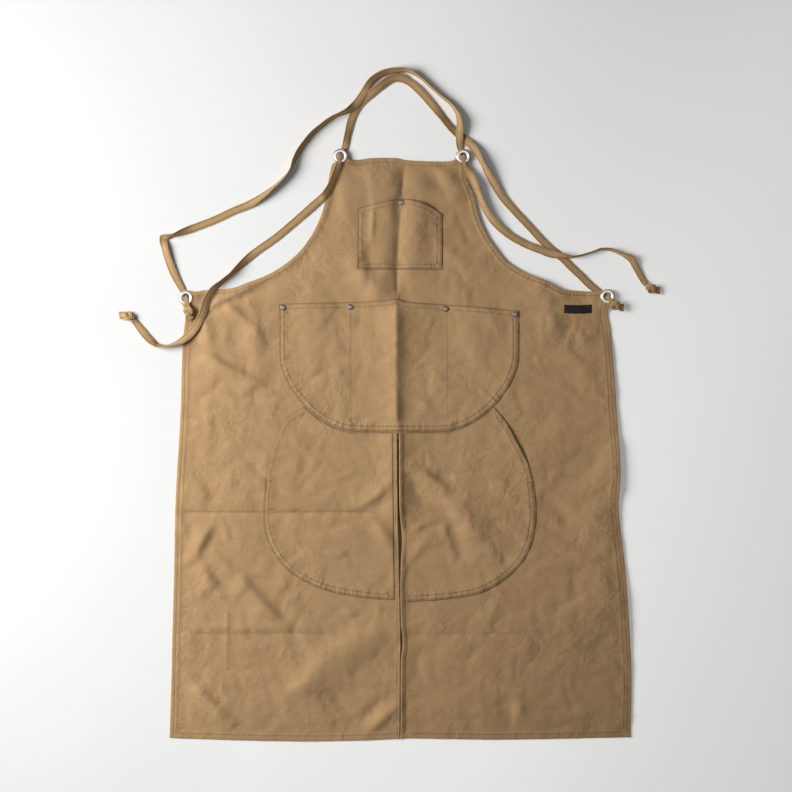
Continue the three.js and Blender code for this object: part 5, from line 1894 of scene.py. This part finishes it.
class APRON_OT_stage(bpy.types.Operator):
    """Camera straight above, a pale floor and soft light from the upper left"""

    bl_idname = "apron.stage"
    bl_label = "Studio"

    def execute(self, context):
        scene = context.scene
        camera = bpy.data.cameras.new("camera")
        camera.sensor_width = SENSOR
        camera.lens = SENSOR * CAMERA_HEIGHT / VIEW_WIDTH
        above = bpy.data.objects.new("camera", camera)
        above.location = (CAMERA_X * MM, CAMERA_Y * MM, CAMERA_HEIGHT * MM)
        scene.collection.objects.link(above)
        scene.camera = above
        scene.view_settings.view_transform = "Standard"

        corners = [(x * FLOOR_HALF, y * FLOOR_HALF, 0) for x, y in ((-1, -1), (1, -1), (1, 1), (-1, 1))]
        look = floor_material(scene.apron_colours.floor)
        floor = new_object("floor", corners, [[0, 1, 2, 3]], [look], smooth=False)

        key = area_light(scene, "key_light", KEY_LIGHT)
        key.data.shape = "DISK"
        aim = Vector(KEY_LIGHT["aim"]) - Vector(KEY_LIGHT["place"])
        key.rotation_euler = aim.to_track_quat("-Z", "Y").to_euler()
        overhead = area_light(scene, "card_overhead", CARD)
        overhead.visible_diffuse = False

        world = bpy.data.worlds.new("soft_fill")
        world.use_nodes = True
        background = world.node_tree.nodes["Background"]
        background.inputs["Color"].default_value = (1.0, 1.0, 1.0, 1.0)
        background.inputs["Strength"].default_value = WORLD_STRENGTH
        scene.world = world
        return {"FINISHED"}


class APRON_OT_tapes(bpy.types.Operator):
    """The two tapes that cross behind the neck, with their knots"""

    bl_idname = "apron.tapes"
    bl_label = "Tapes and knots"

    def execute(self, context):
        sizes = context.scene.apron_sizes
        look = apron_materials()
        cloth = sizes.cloth / MM
        thread = sizes.thread / MM
        pair = [look["tape"], look["thread"]]
        for name, route in (("strap_left", STRAP_LEFT), ("strap_right", STRAP_RIGHT)):
            tape, frames = tape_object(name + "_tape", route, pair, thread)
            settle(tape, "tape", name)
            for knot in KNOTS:
                if knot.name.startswith(name):
                    tied = knot_object(knot, cloth, pair)
                    settle(tied, "tape", knot.name)
        return {"FINISHED"}


class APRON_OT_body(bpy.types.Operator):
    """The body: bib and skirt in one cut, split into two legs, with its hems sewn"""

    bl_idname = "apron.body"
    bl_label = "Body"

    def execute(self, context):
        sizes = context.scene.apron_sizes
        look = apron_materials()
        cloth = sizes.cloth / MM
        outline = body_outline()
        holes = [circle(eyelet, EYELET_HOLE, HOLE_SIDES) for eyelet in EYELETS]
        extra = mesh_points(outline, sizes.grid / MM, BODY_MARGIN)
        extra = extra[away_from_eyelets(extra, EYELET_HOLE + HOLE_MARGIN)]

        def ply_of(x, y):
            return body_ply(x, y, cloth)

        body = cloth_object("apron_cloth", outline, holes, extra, ply_of, look["canvas"], BODY_EDGE_WEAR)
        settle(body, "canvas", "apron_body")
        lines = []
        for spots in seam_lines(outline):
            clear = away_from_eyelets(spots, EYELET_OUTER + STITCH_MARGIN)
            starts = np.flatnonzero(np.diff(clear.astype(int))) + 1
            stretches = zip(np.split(spots, starts), np.split(clear, starts))
            lines += [stretch for stretch, free in stretches if len(stretch) > 2 and free[0]]
        sewn = stitching_object("apron_stitching", lines, ply_of, sizes.thread / MM, look["thread"])
        settle(sewn, "canvas")
        facing = facing_object(cloth, look["canvas"])
        settle(facing, "canvas")
        return {"FINISHED"}


def facing_object(cloth, material):
    """The strip of cloth that is sewn under the slit and shows as its dark bottom."""
    p, waves = FACING, FACING_WAVES
    rows = np.arange(p["bottom"], p["top"], p["step"])
    columns = np.linspace(p["left"], p["right"], FACING_COLUMNS)
    x, y = (a.ravel() for a in np.meshgrid(columns, rows))
    x = x + slit_middle(y)
    top = p["rise"] + waves["height"] * noise_at(x, y, waves["length"], waves["seed"])
    bottom = np.maximum(top - cloth, FACING_LOWEST)
    return patch_object("slit_facing", x, y, bottom, top, len(columns), material)


def patch_object(name, x, y, bottom, top, columns, material):
    """A closed patch over a grid of points, with so many in each row."""
    points = np.vstack([np.column_stack([x, y, top]), np.column_stack([x, y, bottom])])
    number = np.arange(len(x)).reshape(-1, columns)
    a, b = number[:-1, :-1].ravel(), number[:-1, 1:].ravel()
    c, d = number[1:, 1:].ravel(), number[1:, :-1].ravel()
    triangles = np.vstack([np.stack([a, b, c], 1), np.stack([a, c, d], 1)])
    return new_object(name, points, shell_faces(triangles, len(x)), [material])


class APRON_OT_pockets(bpy.types.Operator):
    """The four patch pockets with their seams"""

    bl_idname = "apron.pockets"
    bl_label = "Pockets"

    def execute(self, context):
        sizes = context.scene.apron_sizes
        look = apron_materials()
        step = sizes.pocket_grid / MM
        outlines = {
            "bib_pocket": bib_pocket_outline(step),
            "waist_pocket": waist_pocket_outline(step),
            "leg_pocket_left": leg_pocket_outline(step, -1),
            "leg_pocket_right": leg_pocket_outline(step, 1),
        }
        for name, outline in outlines.items():
            def ply_of(x, y, name=name, outline=outline):
                return pocket_ply(name, outline, np.asarray(x, float), np.asarray(y, float))

            extra = mesh_points(outline, step, POCKET_MARGIN)
            pocket = cloth_object(
                name + "_cloth", outline, [], extra, ply_of, look["canvas"], POCKET_EDGE_SHADE)
            settle(pocket, "canvas", name)
            lines = seam_lines(outline)
            if name == "waist_pocket":
                lines += [line(start, end, step) for start, end in WAIST_DIVIDERS]
            lines += [line(start, end, BARTACK_STEP) for start, end in BARTACKS.get(name, [])]
            sewn = stitching_object(name + "_stitching", lines, ply_of, sizes.thread / MM, look["thread"])
            settle(sewn, "canvas")
        return {"FINISHED"}


class APRON_OT_eyelets(bpy.types.Operator):
    """The four nickel eyelets that the tapes run through"""

    bl_idname = "apron.eyelets"
    bl_label = "Eyelets"

    def execute(self, context):
        look = apron_materials()
        for eyelet in EYELETS:
            ring = turned_object(eyelet.name + "_ring", EYELET_PROFILE, EYELET_SIDES, look["nickel"], True)
            # The barrel inside the ring takes the darker aged steel, painted shade in the bore
            finish_middle(ring, EYELET_BARREL, look["steel"])
            set_down(ring, eyelet.x, eyelet.y, EYELET_LIFT)
            settle(ring, "nickel", eyelet.name)
        return {"FINISHED"}


class APRON_OT_rivets(bpy.types.Operator):
    """The five rivets at the pocket mouths"""

    bl_idname = "apron.rivets"
    bl_label = "Rivets"

    def execute(self, context):
        sizes = context.scene.apron_sizes
        look = apron_materials()
        step = sizes.pocket_grid / MM
        outlines = {"bib_pocket": bib_pocket_outline(step), "waist_pocket": waist_pocket_outline(step)}
        for rivet in RIVETS:
            name = "bib_pocket" if rivet.name == "rivet_bib" else "waist_pocket"
            rim = circle(rivet, RIVET_CAP, RIVET_PROBES)
            under = pocket_ply(name, outlines[name], *rim.T).top
            cap = turned_object(rivet.name + "_cap", RIVET_PROFILE, RIVET_SIDES, look["steel"], False)
            # The dome takes the paler steel, a painted highlight
            finish_middle(cap, RIVET_DOME, look["worn"])
            set_down(cap, rivet.x, rivet.y, float(under.mean()))
            settle(cap, "steel", rivet.name)
        return {"FINISHED"}


class APRON_OT_label(bpy.types.Operator):
    """The small blank woven label at the waist"""

    bl_idname = "apron.label"
    bl_label = "Label"

    def execute(self, context):
        cloth = context.scene.apron_sizes.cloth / MM
        look = apron_materials()
        p = LABEL
        columns, rows = LABEL_CELLS
        xs, ys = np.linspace(p["left"], p["right"], columns), np.linspace(p["bottom"], p["top"], rows)
        x, y = (a.ravel() for a in np.meshgrid(xs, ys))
        share = (x - p["left"]) / (p["right"] - p["left"])
        y = y - p["sag"] * 2 * share * (1 - share)
        edge = np.minimum.reduce([x - p["left"], p["right"] - x, y - p["bottom"] + p["sag"], p["top"] - y])
        bottom = body_ply(x, y, cloth).top + LABEL_GAP
        crown = p["thick"] * (LABEL_EDGE + (1.0 - LABEL_EDGE) * smoothstep(0.0, LABEL_ROUND, edge))
        label = patch_object("woven_label", x, y, bottom, bottom + crown, columns, look["label"])
        settle(label, "woven_black", "label")
        return {"FINISHED"}


class APRON_PT_panel(bpy.types.Panel):
    """The apron's steps in the sidebar"""

    bl_idname = "APRON_PT_panel"
    bl_label = "Split-leg apron"
    bl_space_type = "VIEW_3D"
    bl_region_type = "UI"
    bl_category = "Apron"

    def draw(self, context):
        for operator in OPERATORS:
            self.layout.operator(operator.bl_idname)


OPERATORS = [
    APRON_OT_stage, APRON_OT_tapes, APRON_OT_body, APRON_OT_pockets, APRON_OT_eyelets, APRON_OT_rivets,
    APRON_OT_label,
]
CLASSES = [ApronSizes, ApronColours, *OPERATORS, APRON_PT_panel]


def register():
    for each in CLASSES:
        bpy.utils.register_class(each)
    bpy.types.Scene.apron_sizes = PointerProperty(type=ApronSizes)
    bpy.types.Scene.apron_colours = PointerProperty(type=ApronColours)


def unregister():
    del bpy.types.Scene.apron_colours
    del bpy.types.Scene.apron_sizes
    for each in reversed(CLASSES):
        bpy.utils.unregister_class(each)


def main():
    register()
    bpy.ops.apron.stage()
    bpy.ops.apron.tapes()
    bpy.ops.apron.body()
    bpy.ops.apron.pockets()
    bpy.ops.apron.eyelets()
    bpy.ops.apron.rivets()
    bpy.ops.apron.label()


if __name__ == "__main__":
    main()
